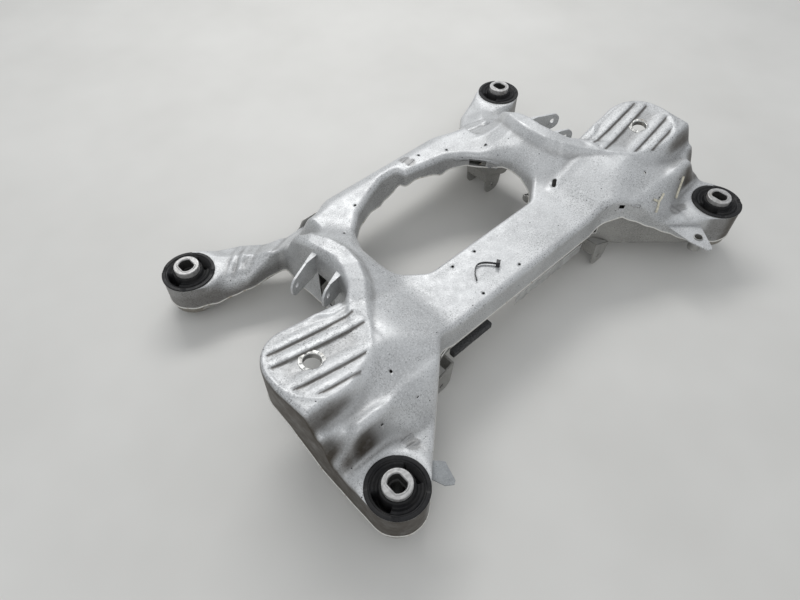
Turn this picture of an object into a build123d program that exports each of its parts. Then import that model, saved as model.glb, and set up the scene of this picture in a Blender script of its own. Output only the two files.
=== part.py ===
from build123d import *
from math import asin, atan2, cos, hypot, pi, radians, sin, sqrt, tan
import os

# Front subframe of pressed and welded steel sheet, in millimetres.
# X runs along the crossbeam, Y from the open front legs to the arched crossmember,
# and Z up from the floor that the lower brackets stand on. Mirror plane X = 0.
os.makedirs("parts", exist_ok=True)

SHEET = 3.0
LAP = 0.3
LOW = 10.0
HIGH = 300.0

# Body bushes: place of each axis and height of the housing seat
FRONT_BUSH = (550.0, -359.0)
REAR_BUSH = (548.0, 369.0)
FRONT_SEAT = 143.0
REAR_SEAT = 110.0
HOUSING_R = 60.0
TUBE_R = HOUSING_R - SHEET - 0.5
TUBE_BORE = TUBE_R - 4.5
RING_BORE = TUBE_BORE - 3.0
FLANGE_R = HOUSING_R + 1.2
FLANGE = 3.8
SLEEVE_R = 29.0
SLEEVE_BORE = 16.0
BOSS = 6.0

# Heights of the upper shell's faces
DECK = 181.0
RIDGE = 236.0
PAD_IN = 232.0
PAD_EDGE = 396.0
FRONT_PLATE = 134.0
ARM_PLATE = 94.0
ARM_BANDS = [((482.0, 302.0), (414.0, 366.0)), ((459.0, 294.0), (395.0, 355.0))]
BAND_RISE = 3.5
CROSS_TOP = 184.0
CROSS_LIP = 128.0

# Half width at the housings and reach of the dome
WIDE = FRONT_BUSH[0] + HOUSING_R
REAR_WIDE = REAR_BUSH[0] + HOUSING_R
DOME_HOLE = (530.0, -106.0)
DISH = (515.0, -100.0)
DISH_R = 97.0
DISH_DEEP = 6.0
DISH_INNER = [(0, 58), (-126, 58), (-126, -2), (-60, -79), (0, -90)]
DISH_BARS = [(53.7, 4.4), (22.5, 6.0), (-40.0, 5.3), (-70.4, 4.2)]
PAD_SLOPE = 0.15

COLLAR_R = 20.0
COLLAR_BORE = 17.0
COLLAR_FLANGE = 22.0

# Pocket between the arm and the dome, with the ears of the upper link
POCKET_X = 341.0
WINDOW_Y = (62.0, 112.0)
WINDOW_Z = (84.0, 170.0)
EAR = 5.0
EAR_R = 20.0
EAR_BORE = 6.5
LINK_AXIS = (412.0, 55.0, 212.5)
LINK_TURN = 24.0
EAR_SPREAD = {"front": -36.5, "rear": 36.5}
EAR_ROOT_X = 349.0

# Lower link brackets, whose rounded tips stand on the floor
LUG = 4.0
LUG_R = 24.0
LUG_BORE = 6.5
LUG_HALF = 34.0
LUG_AXIS_X = {"front": 290.0, "rear": 296.0}
LOWER_PAIRS = {"front": (-216.0, -152.0), "rear": (160.0, 224.0)}

# Bracket, clips, tie, foam strip and foil shield on the front edge
BRACKET_TUBE = (430.0, -388.0)
TIE = (-51.0, -147.0)
STRAP = (4.3, 1.3)
STRAP_SPAN = 68.0
STRAP_BULGE = 27.0
FOAM_X = (-246.0, -127.0)
SHIELD_X = (-30.0, 217.0)
SHIELD_FOLDS = 28
SHIELD_WAVE = 3.0
SHIELD_SHEET = 0.6
CLIP = 1.2

# Seams between the two shells, one profile for the front half and one for the rear
FRONT_SEAM = [(0, 112), (230, 112), (330, 62), (660, 62)]
REAR_SEAM = [(0, 105), (230, 105), (330, 62), (470, 62), (530, 44), (660, 44)]
DOME_IN = 400.0
DOME_FRONT = -205.0
DOME_EDGE = 166.0
LIP = 146.0
LIP_CUT = 9.0
WALL_HOLE = (203.0, 146.0, 158.0)
FRONT_HALF = -26.0
REAR_HALF = 148.0
FLOOR_DROP = 14.0
LAP_RISE = 14.0


def mirrored(shape):
    return mirror(shape, about=Plane.YZ)


def both_sides(shape):
    return shape + mirrored(shape)


def tangent_at(point, centre, radius, side, x):
    """Where the line from point that grazes the circle reaches the given x."""
    dx = centre[0] - point[0]
    dy = centre[1] - point[1]
    angle = atan2(dy, dx) + side * asin(radius / hypot(dx, dy))
    return point[1] + tan(angle) * (x - point[0])


def rounded(corners):
    """Closed face from (x, y, radius) corners: straight sides and tangent arcs."""
    edges = []
    starts = []
    count = len(corners)
    for i in range(count):
        x, y, radius = corners[i]
        corner = Vector(x, y)
        back = (Vector(*corners[i - 1][:2]) - corner).normalized()
        ahead = (Vector(*corners[(i + 1) % count][:2]) - corner).normalized()
        half = radians(back.get_angle(ahead)) / 2
        if radius == 0 or half > pi / 2 - 0.01:
            starts.append((corner, corner))
            continue
        reach = radius / tan(half)
        middle = (back + ahead).normalized() * (radius / sin(half) - radius)
        first = corner + back * reach
        last = corner + ahead * reach
        edges.append(ThreePointArc(first, corner + middle, last))
        starts.append((first, last))
    for i in range(count):
        here = starts[i - 1][1]
        there = starts[i][0]
        if (there - here).length > 0.001:
            edges.append(Line(here, there))
    return make_face(Wire(edges))


def turned(outline):
    """Revolved ring from a closed (radius, height) polyline."""
    return revolve(Plane.XZ * make_face(Polyline(*outline, close=True)), Axis.Z)


def prism(face, low=LOW, high=HIGH):
    return Pos(0, 0, low) * extrude(face, high - low)


def along_y(corners, y0, y1):
    """A profile of (x, z, radius) corners drawn out from y0 to y1."""
    face = Plane.XZ.offset(-y1) * rounded(corners)
    return extrude(face, y1 - y0)


def plan_outline():
    shoulder = (283.0, -200.0)
    neck = (452.0, 266.0)
    heel = (452.0, 404.0)
    toe = tangent_at(shoulder, FRONT_BUSH, HOUSING_R, -1, WIDE)
    near = tangent_at(neck, REAR_BUSH, HOUSING_R, -1, REAR_WIDE)
    far = tangent_at(heel, REAR_BUSH, HOUSING_R, 1, REAR_WIDE)
    half = [
        (*shoulder, 60),
        (WIDE, toe, HOUSING_R),
        (WIDE, -262, 40),
        (622, -120, 80),
        (616, -3, 88),
        (372, -20, 26),
        (343, 20, 30),
        (338, 90, 60),
        (345, 180, 60),
        (352, 264, 15),
        (*neck, 30),
        (REAR_WIDE, near, HOUSING_R),
        (REAR_WIDE, far, HOUSING_R),
        (*heel, 20),
        (399, 385, 30),
        (325, 322, 60),
    ]
    return half + [(-x, y, r) for x, y, r in reversed(half)]


def plan_opening():
    return [
        (-160, -68, 40), (165, -68, 40), (238, -10, 40), (240, 60, 60),
        (222, 118, 50), (185, 170, 50), (140, 200, 60), (40, 220, 30),
        (14, 222, 10), (4, 250, 10), (-40, 250, 40), (-110, 222, 60),
        (-165, 196, 60), (-215, 152, 50), (-244, 80, 60), (-238, -10, 40),
    ]


OUTLINE = rounded(plan_outline())
OPENING = rounded(plan_opening())


def footprint(inset):
    """The sheet's plan with the central opening, moved inward by inset."""
    if inset == 0:
        return OUTLINE - OPENING
    return offset(OUTLINE, -inset) - offset(OPENING, inset)


def inward(face, inset):
    return offset(face, -inset) if inset else face


def drawn_y(corners, y0, y1, inset):
    face = inward(rounded(corners), inset)
    return extrude(Plane.XZ.offset(-y1 + inset) * face, y1 - y0 - 2 * inset)


def drawn_x(corners, x0, x1, inset):
    face = inward(rounded(corners), inset)
    return extrude(Plane.YZ.offset(x0 + inset) * face, x1 - x0 - 2 * inset)


def side_member(inset):
    """Right-hand ramp from the beam's deck to the dome, with its front shoulder."""
    ramp = [(-20, LOW, 0), (-20, DECK, 0), (240, DECK, 90), (372, RIDGE, 60),
            (430, RIDGE, 0), (430, LOW, 0)]
    shoulder = [(-262, LOW, 0), (-262, 142, 0), (-249, 202, 12), (-150, RIDGE + 1, 60),
                (10, RIDGE + 1, 0), (10, LOW, 0)]
    return drawn_y(ramp, -300, 10, inset) & drawn_x(shoulder, -20, 430, inset)


def dome(inset):
    """Right-hand dome: tilted pad and outer wall, with a valley and a ridge before the steep front."""
    far = PAD_IN + (650 - PAD_EDGE) * PAD_SLOPE
    across = [(366, LOW, 0), (366, 190, 20), (PAD_EDGE, PAD_IN, 20), (650, far, 0), (650, LOW, 0)]
    slope = [(-262, LOW, 0), (-262, 142, 0), (-252, 188, 12), (-217, 204, 12),
             (-195, 262, 0), (-181, 300, 0), (60, 300, 0), (60, LOW, 0)]
    ridge = [(-263, LOW, 0), (-263, 142, 0), (-251, 208, 9), (-240, 216, 9), (-214, 200, 0),
             (-214, LOW, 0)]
    crest = [(360, LOW, 0), (360, 190, 0), (404, 217, 40), (572, 217, 45), (606, 130, 0), (606, LOW, 0)]
    pad = drawn_y(across, -300, 60, inset) & drawn_x(slope, 300, 650, inset)
    return pad + (drawn_x(ridge, 350, 620, inset) & drawn_y(crest, -280, -200, inset))


def front_plate(inset):
    fall = [(-450, LOW, 0), (-450, FRONT_PLATE, 0), (-300, FRONT_PLATE, 60), (-250, 145, 0),
            (-230, 145, 0), (-230, LOW, 0)]
    return drawn_x(fall, 230, 660, inset)


def seat_boss(bush, seat, plate, inset):
    """Raised round seat on which the flange of a body bush rests."""
    low = plate - BOSS
    cone = Cone(FLANGE_R + 41.8, FLANGE_R + 4.8 - inset / 2, seat - inset - low)
    return Pos(*bush, (low + seat - inset) / 2) * cone


def rear_deck(inset):
    """Deck between the arch band and the opening, and the arm's low plate."""
    deck = [(140, LOW, 0), (140, DECK, 0), (356, DECK, 0), (356, LOW, 0)]
    arm = [(232, LOW, 0), (232, ARM_PLATE, 0), (660, ARM_PLATE, 0), (660, LOW, 0)]
    return drawn_y(deck, -80, 236, inset) + drawn_y(arm, 200, 440, inset)


def arm_bands(inset):
    """Two raised bands that run along the arm toward the rear bush."""
    bands = Part()
    for (x0, y0), (x1, y1) in ARM_BANDS:
        length = hypot(x1 - x0, y1 - y0)
        bar = Box(length - 2 * inset, 10 - 2 * inset, ARM_PLATE + BAND_RISE - inset - LOW)
        turn = Rot(0, 0, atan2(y1 - y0, x1 - x0) * 180 / pi)
        bands += Pos((x0 + x1) / 2, (y0 + y1) / 2, (ARM_PLATE + BAND_RISE - inset + LOW) / 2) * turn * bar
    return bands


def crossmember(inset):
    """Arched rear member: flat top, outer slope to the lip, sloped ends."""
    top = [(196, LOW, 0), (196, CROSS_TOP, 0), (276, CROSS_TOP, 30), (322, CROSS_LIP, 20),
           (345, 120, 0), (345, LOW, 0)]
    ends = [(-300, LOW, 0), (-300, 92, 0), (-258, CROSS_TOP, 30), (258, CROSS_TOP, 30),
            (300, 92, 0), (300, LOW, 0)]
    deck = [(100, LOW, 0), (100, DECK, 0), (210, DECK, 0), (210, LOW, 0)]
    return (drawn_x(top, -310, 310, inset) & drawn_y(ends, 150, 350, inset)) + drawn_x(deck, -230, 230, inset)


def band_section(x, y, z, heading, inset):
    """Trapezoid across the arch band, its crest at z and its skirts at the side slope."""
    crest = 24.0 - inset / 2
    skirt = 60.0
    slope = 1.35
    foot = crest + skirt / slope
    across = Plane((x, y, 0), x_dir=(-sin(heading), cos(heading), 0),
                   z_dir=(cos(heading), sin(heading), 0))
    top = z - inset
    points = [(-foot, LOW), (-foot, top - skirt), (-crest, top), (crest, top),
              (foot, top - skirt), (foot, LOW)]
    return across * make_face(Polyline(*points, close=True))


def arch_band(inset):
    """High band that sweeps from the rear arm round the pocket to the dome."""
    crest = [(520, 352, 100), (465, 318, 112), (424, 275, 136), (377, 215, 196), (345, 170, 227),
             (320, 125, 237), (311, 75, 237), (314, 15, 237), (326, -45, 235)]
    sections = []
    for i, (x, y, z) in enumerate(crest):
        x0, y0, _ = crest[max(i - 1, 0)]
        x1, y1, _ = crest[min(i + 1, len(crest) - 1)]
        sections.append(band_section(x, y, z, atan2(y1 - y0, x1 - x0), inset))
    return loft(sections, ruled=True)


def pad_plane():
    """Plane of the pad, its origin at the middle of the dish."""
    height = PAD_IN + (DISH[0] - PAD_EDGE) * PAD_SLOPE
    return Plane((*DISH, height), x_dir=(1, 0, PAD_SLOPE), z_dir=(-PAD_SLOPE, 0, 1))


def dish_floor():
    pad = pad_plane()
    return Plane(pad.origin - pad.z_dir * DISH_DEEP, x_dir=pad.x_dir, z_dir=pad.z_dir)


def collar_place():
    """Middle of the dome's hole in the plane of the dish."""
    return (DOME_HOLE[0] - DISH[0]) * sqrt(1 + PAD_SLOPE**2), DOME_HOLE[1] - DISH[1]


def dish(inset):
    """Shallow dish in the pad, round outboard and straight at its inner end, with four bars."""
    scale = sqrt(1 + PAD_SLOPE**2)
    depth = DISH_DEEP + inset
    face = Circle(DISH_R) + make_face(Polyline(*DISH_INNER, close=True))
    if inset:
        face = offset(face, inset)
    disc = extrude(face, 60) + extrude(face, -depth)
    for y, turn in DISH_BARS:
        bar = Pos(0, y, 0) * Rot(0, 0, turn) * Box(320 * scale, 15 - 2 * inset, 200)
        disc -= bar
    return pad_plane() * disc


def under_surface(inset):
    """Everything below the upper shell's face, as one block moved inward by inset."""
    right = side_member(inset) + dome(inset) + front_plate(inset) + rear_deck(inset)
    right += arch_band(inset) + arm_bands(inset)
    right += seat_boss(FRONT_BUSH, FRONT_SEAT, FRONT_PLATE, inset)
    right += seat_boss(REAR_BUSH, REAR_SEAT, ARM_PLATE, inset)
    right -= dish(inset)
    block = right + mirrored(right) + crossmember(inset)
    return block & prism(footprint(inset))


def below_seam(rise, y0, y1, seam):
    """Block under a seam profile, raised by rise."""
    top = [(x, z + rise) for x, z in seam]
    points = [(-x, z) for x, z in reversed(top)] + top[1:] + [(660, -50), (-660, -50)]
    face = Plane.XZ.offset(-y1) * make_face(Polyline(*points, close=True))
    return extrude(face, y1 - y0)


def dome_seam(rise):
    """Block whose top is the raised edge of the dome's outer wall."""
    top = DOME_EDGE + rise
    climb = [(-264, -50, 0), (-264, 60 + rise, 0), (-215, 83 + rise, 0), (-130, top, 20),
             (-60, top, 20), (40, 100 + rise, 0), (40, -50, 0)]
    ends = [(DOME_IN - 60, -50, 0), (DOME_IN - 60, 60 + rise, 0), (DOME_IN + 30, 220 + rise, 0),
            (660, 220 + rise, 0), (660, -50, 0)]
    return both_sides(drawn_x(climb, DOME_IN - 60, 660, 0) & drawn_y(ends, -264, 40, 0))


def seam_block(rise):
    """Everything under the seam, raised inside the crossmember and along the domes."""
    climb = [(140, -50, 0), (140, LIP + rise, 0), (255, LIP + rise, 0), (322, 106 + rise, 0),
             (345, 106 + rise, 0), (345, -50, 0)]
    ends = [(-262, -50, 0), (-262, 90 + rise, 0), (-225, LIP + 1 + rise, 0), (225, LIP + 1 + rise, 0),
            (262, 90 + rise, 0), (262, -50, 0)]
    arch = drawn_x(climb, -270, 270, 0) & drawn_y(ends, 120, 360, 0)
    flat = below_seam(rise, -460, 0, FRONT_SEAM) + below_seam(rise, 0, 460, REAR_SEAM)
    return flat + arch + dome_seam(rise)


def deck_holes():
    small = 3.2
    places = [(-57, -82), (-127, -81), (-12, -177), (-133, -179), (-158, 218), (158, 218),
              (88, 252), (-242, 157), (242, 157), (425, -205), (-425, -205)]
    cut = Part() + [Pos(x, y, 200) * Cylinder(small, 240) for x, y in places]
    comma = Pos(255, -62, 200) * extrude(SlotOverall(24, 10, rotation=35), 100, both=True)
    corner = Pos(357, -206, 200) * Cylinder(7, 100)
    wall_hole = Pos(*WALL_HOLE) * Rot(0, 0, -55) * Box(13, 24, 10)
    return cut + both_sides(comma) + both_sides(corner) + wall_hole


def bush_bores(radius):
    cut = Part() + [Pos(*bush, 150) * Cylinder(radius, 400) for bush in (FRONT_BUSH, REAR_BUSH)]
    return both_sides(cut)


def pocket_window():
    """Opening in the pocket wall between the two ears of the upper link."""
    low, high = WINDOW_Z
    near, far = WINDOW_Y
    face = rounded([(near, low, 8), (near, high - 14, 8), (far, high, 12), (far, low, 8)])
    return extrude(Plane.YZ.offset(POCKET_X - 14) * face, 28)


def upper_shell():
    shell = under_surface(0) - under_surface(SHEET) - seam_block(0)
    collar_hole = dish_floor() * Pos(*collar_place(), 0) * Cylinder(COLLAR_R + 0.1, 40)
    shell -= bush_bores(TUBE_BORE) + both_sides(collar_hole) + deck_holes()
    lip = prism(offset(OPENING, LIP_CUT), -50, LIP) & Pos(0, 70, 0) * Box(700, 190, 700)
    return shell - both_sides(pocket_window()) - lip


def front_area():
    """Plan area of the front pan, which leaves the domes open below."""
    far = 520.0
    strip = Pos(0, (FRONT_HALF - far) / 2) * Rectangle(2 * WIDE + 60, far + FRONT_HALF)
    under_dome = Pos(DOME_IN + 150, DOME_FRONT + 150) * Rectangle(300, 300)
    return strip - both_sides(under_dome)


def rear_area():
    return Pos(0, REAR_HALF + 200) * Rectangle(2 * WIDE + 60, 400)


def lower_shell(area):
    """Pan that laps inside the upper shell's wall; the side arches stay open between the two."""
    gap = SHEET + LAP
    plan = (OUTLINE - OPENING) & area
    outer = prism(offset(plan, -gap), 0)
    inner = prism(offset(plan, -gap - SHEET), 0)
    floor = seam_block(SHEET - FLOOR_DROP) - seam_block(-FLOOR_DROP)
    wall = seam_block(LAP_RISE) - seam_block(-FLOOR_DROP)
    pan = (outer & wall) - (inner & (wall - floor))
    return pan - bush_bores(TUBE_R + LAP)


def tube(radius, bore, low, high):
    """Upright tube from low to high."""
    return Pos(0, 0, (low + high) / 2) * (Cylinder(radius, high - low) - Cylinder(bore, high - low))


def bush_housing(low, seat):
    """Tube that carries the bush, set under the shell's seat."""
    return tube(TUBE_R, TUBE_BORE, low, seat - SHEET)


def bush_ring(low, seat):
    """Outer ring pressed into the tube, with a notched flange on the seat."""
    sleeve = tube(TUBE_BORE - 0.05, RING_BORE, low + 8, seat + FLANGE)
    flange = tube(FLANGE_R, RING_BORE, seat, seat + FLANGE)
    ring = sleeve + flange
    for turn in (45, 135, 225, 315):
        notch = Pos(FLANGE_R - 4.7, 0, seat + FLANGE) * Box(7, 11, 2.4)
        ring -= Rot(0, 0, turn) * notch
    return ring


def bush_rubber(low, seat):
    """Rubber body between ring and sleeve, with two curved voids and a groove on top."""
    top = seat + 6
    near = SLEEVE_R + 0.05
    far = RING_BORE - 0.05
    body = turned([(near, low + 12), (near, top + 5), (near + 4, top + 4), (near + 9, top - 5),
                   (far - 5, top - 1), (far, top - 4), (far, low + 12)])
    void = Circle(RING_BORE - 5.5) - Circle(SLEEVE_R + 5)
    wedge = make_face(Polyline((0, 0), (80, -52), (80, 52), close=True))
    void = extrude(Pos(0, 0, low) * (void & wedge), seat + 30 - low)
    return body - void - Rot(0, 0, 180) * void


def bush_sleeve(low, deep, top):
    """Inner sleeve with a round bore and a deep slotted pocket with flats at its top."""
    body = tube(SLEEVE_R, SLEEVE_BORE, low + 6, top)
    pocket = extrude(Pos(0, 0, deep) * (Circle(SLEEVE_R - 6.5) & Rectangle(35, 60)), top - deep)
    relief = Pos(0, 0, low + 6) * Cylinder(SLEEVE_BORE + 5, 5)
    return body - pocket - relief


def bushes():
    """Parts of one bush by name; each is drawn on its own axis."""
    parts = {}
    for end, bush, low, seat, top in (("front", FRONT_BUSH, 44, FRONT_SEAT, 165),
                                      ("rear", REAR_BUSH, 26, REAR_SEAT, 135)):
        place = Pos(*bush, 0)
        parts[end, "bush_housing"] = place * bush_housing(low, seat)
        parts[end, "bush_ring"] = place * bush_ring(low, seat)
        parts[end, "bush_rubber"] = place * bush_rubber(low, seat)
        parts[end, "bush_sleeve"] = place * bush_sleeve(low, seat - 4.5, top)
    return parts


def dome_collar():
    """Flared collar that lines the dome's hole, its flange on the floor of the dish."""
    outline = [(COLLAR_BORE, -11), (COLLAR_BORE, 1), (COLLAR_BORE + 1.5, 2.2), (COLLAR_FLANGE, 1.4),
               (COLLAR_FLANGE, 0), (COLLAR_R, 0), (COLLAR_R, -11)]
    return dish_floor() * Pos(*collar_place(), 0) * turned(outline)


def link_ear(spread):
    """Upright ear that leaves the pocket wall at a slant, rounded about its bolt hole."""
    turn = radians(LINK_TURN)
    along = (cos(turn), -sin(turn), 0)
    hole_x = LINK_AXIS[0] + spread * sin(turn)
    reach = (hole_x - EAR_ROOT_X) / cos(turn)
    root = (EAR_ROOT_X, LINK_AXIS[1] + spread * cos(turn) + reach * sin(turn))
    height = LINK_AXIS[2]
    upright = Plane((*root, 0), x_dir=along, z_dir=(along[1], -along[0], 0))
    top = height + EAR_R
    face = rounded([(-20, 176, 0), (-20, top + 2, 0), (14, top + 2, 8), (reach + EAR_R, top, EAR_R),
                    (reach + EAR_R, height - EAR_R, EAR_R), (20, 170, 30)])
    face -= Pos(reach, height) * Circle(EAR_BORE)
    plate = extrude(upright * face, EAR / 2, both=True)
    flare = rounded([(-20, -13, 0), (8, -11, 3), (40, -EAR / 2, 0), (40, EAR / 2, 0), (-20, EAR / 2, 0)])
    lip = Plane((*root, top + 2 - EAR / 2), x_dir=along, z_dir=(0, 0, 1)) * flare
    ear = plate + extrude(lip, EAR / 2)
    return ear - prism(OUTLINE)


def pocket_gusset():
    """Folded strip that stiffens the pocket wall beside the rear ear."""
    foot = [(POCKET_X - 6, 150), (POCKET_X + 14, 150), (POCKET_X + 14, 153), (POCKET_X - 6, 153)]
    web = extrude(make_face(Polyline(*foot, close=True)), 90)
    flange = Pos(POCKET_X + 12.5, 157, 45) * Box(3, 11, 90)
    return Pos(0, 0, 118) * (web + flange) - prism(OUTLINE)


def underside(x, seam):
    """Height of the pan's underside below the sloped stretch of a seam."""
    (x0, z0), (x1, z1) = seam[1:3]
    return z0 + (z1 - z0) * (x - x0) / (x1 - x0) - FLOOR_DROP


def lower_bracket(y0, y1, axis_x, seam):
    """Folded U bracket under the pan: two lugs with a bolt hole, joined by an inboard web."""
    near = axis_x - LUG_HALF
    far = axis_x + LUG_HALF
    bottom = LUG_HALF - 8
    web_low = 44.0
    lean = 3.6
    side = [(near, underside(near, seam), 0), (far, underside(far, seam), 0),
            (axis_x + bottom, 0, LUG_R), (axis_x - bottom, 0, LUG_R)]
    face = rounded(side) - Pos(axis_x, LUG_R) * Circle(LUG_BORE)
    lug = extrude(Plane.XZ * face, LUG)
    web = along_y([(near, underside(near, seam), 0), (near + LUG, underside(near + LUG, seam), 0),
                   (near + lean + LUG, web_low, 0), (near + lean, web_low, 0)], y0, y1)
    return Pos(0, y0, 0) * lug + Pos(0, y1 + LUG, 0) * lug + web


def left_bracket_plate():
    """Small flat plate on the left front wall beside the bush."""
    corners = [(-420, -300, 0), (-436, -376, 6), (-460, -417, 6), (-478, -408, 6), (-487, -376, 0),
               (-500, -330, 0)]
    return prism(rounded(corners), 116, 119) - prism(OUTLINE)


def right_bracket_plate():
    """Flat plate that reaches forward from the right front wall."""
    corners = [(412, -290, 0), (403, -381, 8), (410, -430.2, 10), (424, -430.2, 8), (470, -372, 10),
               (490, -330, 0)]
    face = rounded(corners) - Pos(*BRACKET_TUBE) * Circle(11)
    return prism(face, 116, 119) - prism(OUTLINE)


def right_bracket_tube():
    """Short tube under the right bracket plate, its neck through the plate's hole."""
    return Pos(*BRACKET_TUBE, 0) * (tube(15, 9, 84, 116) + tube(10.9, 9, 116, 122))


def folded_strip(points, across, width):
    """Thin metal strip folded along a chain of points, its width along across."""
    strip = Part()
    for start, end in zip(points, points[1:]):
        run = Vector(*end) - Vector(*start)
        place = Plane((Vector(*start) + Vector(*end)) / 2, x_dir=across, z_dir=run)
        strip += place * Box(width, CLIP, run.length + CLIP)
    return strip


def cable_clips():
    """Two spring clips pushed through slits at the foot of the right dome."""
    near = folded_strip([(402, -277, 139.5), (411, -259, 157), (428, -266, 184)], (0.9, -0.4, 0), 7)
    far = folded_strip([(490, -279, 140), (516, -277, 142), (507, -267, 186)], (0.3, 0.95, 0), 7)
    return near + far - under_surface(0)


def cable_tie():
    """Tie head on the beam's deck, its cut strap standing on edge in an arc beside it."""
    width, thick = STRAP
    head = Pos(2, 0, 2.6) * Box(8, 6.5, 5.2) - Pos(2, 0, 3.4) * Box(2, 5, 5)
    radius = (STRAP_SPAN**2 / 4 + STRAP_BULGE**2) / (2 * STRAP_BULGE)
    ring = Circle(radius) - Circle(radius - thick)
    middle = Pos(-STRAP_SPAN / 2, STRAP_BULGE - radius)
    bow = (middle * ring) & Pos(-STRAP_SPAN / 2, radius) * Rectangle(4 * radius, 2 * radius)
    return Pos(*TIE, DECK) * (head + extrude(bow, width))


def beam_foam_strip():
    """Self-adhesive foam strip under the front edge of the beam."""
    wall = -200 + LAP + SHEET
    face = rounded([(-211, 80, 4), (-211, 100, 4), (wall, 100, 0), (wall, 80, 4)])
    return extrude(Plane.YZ.offset(FOAM_X[0]) * face, FOAM_X[1] - FOAM_X[0])


def beam_heat_shield():
    """Thin crumpled foil strip that hangs under the front edge of the beam."""
    pitch = (SHIELD_X[1] - SHIELD_X[0]) / SHIELD_FOLDS
    waves = [SHIELD_WAVE * sin(2.4 * i) * (-1) ** i for i in range(SHIELD_FOLDS + 1)]
    wall = -200 + LAP + SHEET
    back = [(SHIELD_X[0] + i * pitch, wall + w - max(waves)) for i, w in enumerate(waves)]
    front = [(x, y - SHIELD_SHEET) for x, y in reversed(back)]
    face = make_face(Polyline(*back, *front, close=True))
    return prism(face, 72, 103)


def save(shape, name):
    shape.label = name
    export_step(shape, "parts/" + name + ".step")


def save_pair(shape, name):
    """The drawn right-hand piece and its mirror image on the left."""
    save(shape, "right_" + name)
    save(mirrored(shape), "left_" + name)


save(upper_shell(), "upper_shell")
save(lower_shell(front_area()), "front_lower_shell")
save(lower_shell(rear_area()), "rear_lower_shell")
save_pair(dome_collar(), "dome_collar")
save_pair(pocket_gusset(), "pocket_gusset")
for (end, piece), shape in bushes().items():
    save_pair(shape, end + "_" + piece)
for end, spread in EAR_SPREAD.items():
    save_pair(link_ear(spread), end + "_link_ear")
for end, seam in (("front", FRONT_SEAM), ("rear", REAR_SEAM)):
    save_pair(lower_bracket(*LOWER_PAIRS[end], LUG_AXIS_X[end], seam), end + "_lower_bracket")
save(left_bracket_plate(), "left_bracket_plate")
save(right_bracket_plate(), "right_bracket_plate")
save(right_bracket_tube(), "right_bracket_tube")
save(cable_clips(), "cable_clips")
save(cable_tie(), "cable_tie")
save(beam_foam_strip(), "beam_foam_strip")
save(beam_heat_shield(), "beam_heat_shield")
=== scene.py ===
from math import acos, atan2, ceil, cos, degrees, pi, radians, sin, sqrt, tan

import bpy
import numpy as np
from mathutils import Matrix, Vector
from mathutils.geometry import delaunay_2d_cdt


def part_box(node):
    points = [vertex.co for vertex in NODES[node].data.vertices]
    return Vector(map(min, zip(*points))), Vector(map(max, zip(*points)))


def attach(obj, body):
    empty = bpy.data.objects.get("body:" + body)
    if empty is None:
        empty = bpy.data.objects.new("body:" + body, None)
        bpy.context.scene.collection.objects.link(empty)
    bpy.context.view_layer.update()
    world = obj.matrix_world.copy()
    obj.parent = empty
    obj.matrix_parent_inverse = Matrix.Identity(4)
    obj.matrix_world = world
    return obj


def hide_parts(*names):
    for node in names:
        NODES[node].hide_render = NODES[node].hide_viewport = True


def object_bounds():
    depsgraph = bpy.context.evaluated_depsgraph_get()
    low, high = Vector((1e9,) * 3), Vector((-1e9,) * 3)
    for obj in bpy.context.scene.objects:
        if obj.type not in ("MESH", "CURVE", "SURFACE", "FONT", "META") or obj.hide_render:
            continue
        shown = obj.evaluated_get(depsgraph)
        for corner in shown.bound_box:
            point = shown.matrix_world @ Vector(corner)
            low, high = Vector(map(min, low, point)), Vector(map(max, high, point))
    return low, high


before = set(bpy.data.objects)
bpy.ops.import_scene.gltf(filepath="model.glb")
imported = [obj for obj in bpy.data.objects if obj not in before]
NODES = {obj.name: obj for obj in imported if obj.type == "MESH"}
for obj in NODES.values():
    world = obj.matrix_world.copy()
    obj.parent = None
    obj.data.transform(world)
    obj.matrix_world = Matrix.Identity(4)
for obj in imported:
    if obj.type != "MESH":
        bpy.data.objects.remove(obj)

MM = 0.001
SIDES = {"right": 1, "left": -1}
cad_low, cad_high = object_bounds()
BOX_LOW = np.array(cad_low) / MM + 0.05
BOX_HIGH = np.array(cad_high) / MM - 0.05

# Camera of the photograph: place in millimetres and the directions of its frame
CAMERA_AT = (-836.39, -668.24, 1204.21)
CAMERA_RIGHT = (0.73376, -0.67940, 0.00433)
CAMERA_UP = (0.52882, 0.57511, 0.62418)
CAMERA_LOOK = (0.42656, 0.45571, -0.78127)
CAMERA_LENS = 27.707

# Bush axes, flange seats, feet of the housings, tops of the inner sleeves
FRONT_BUSH = (550.0, -359.0)
REAR_BUSH = (548.0, 369.0)
FRONT_SEAT = 143.0
REAR_SEAT = 110.0
FRONT_FOOT = 44.0
REAR_FOOT = 26.0
FRONT_TOP = 165.0
REAR_TOP = 135.0
HOUSING_R = 60.0

# Heights of the pressed sheet: deck, plates, saddle before the ridge, ridge and low outboard corner
SHEET = 3.0
DECK = 181.0
FRONT_PLATE = 134.0
ARM_PLATE = 94.0
CROSS_PLATE = 127.0
CROSS_DROP = 39.0
SADDLE = 202.0
SADDLE_RISE = 34.0
RIDGE = 196.0
CORNER = 148.0

# Pad of the dome: height at its inner edge, where that edge is, slope outward
PAD_IN = 232.0
PAD_EDGE = 396.0
PAD_SLOPE = 0.15

# Flank of the ring round the pocket: fall of its steep part, slope of its foot
RING_FALL = 24.0
RING_FOOT = 0.62

# Lip of the pocket's arch, rolled edges, and the pans' place within the upper shell
LIP = 146.0
EDGE_ROLL = 12.0
LIP_ROLL = 9.0
BUSH_ROLL = 2.5
PAN_ROLL = 14.0
BUSH_PAN_ROLL = 3.0
FLOOR_DROP = 14.0
LAP_RISE = 14.0
PAN_INSET = 3.35

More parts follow.
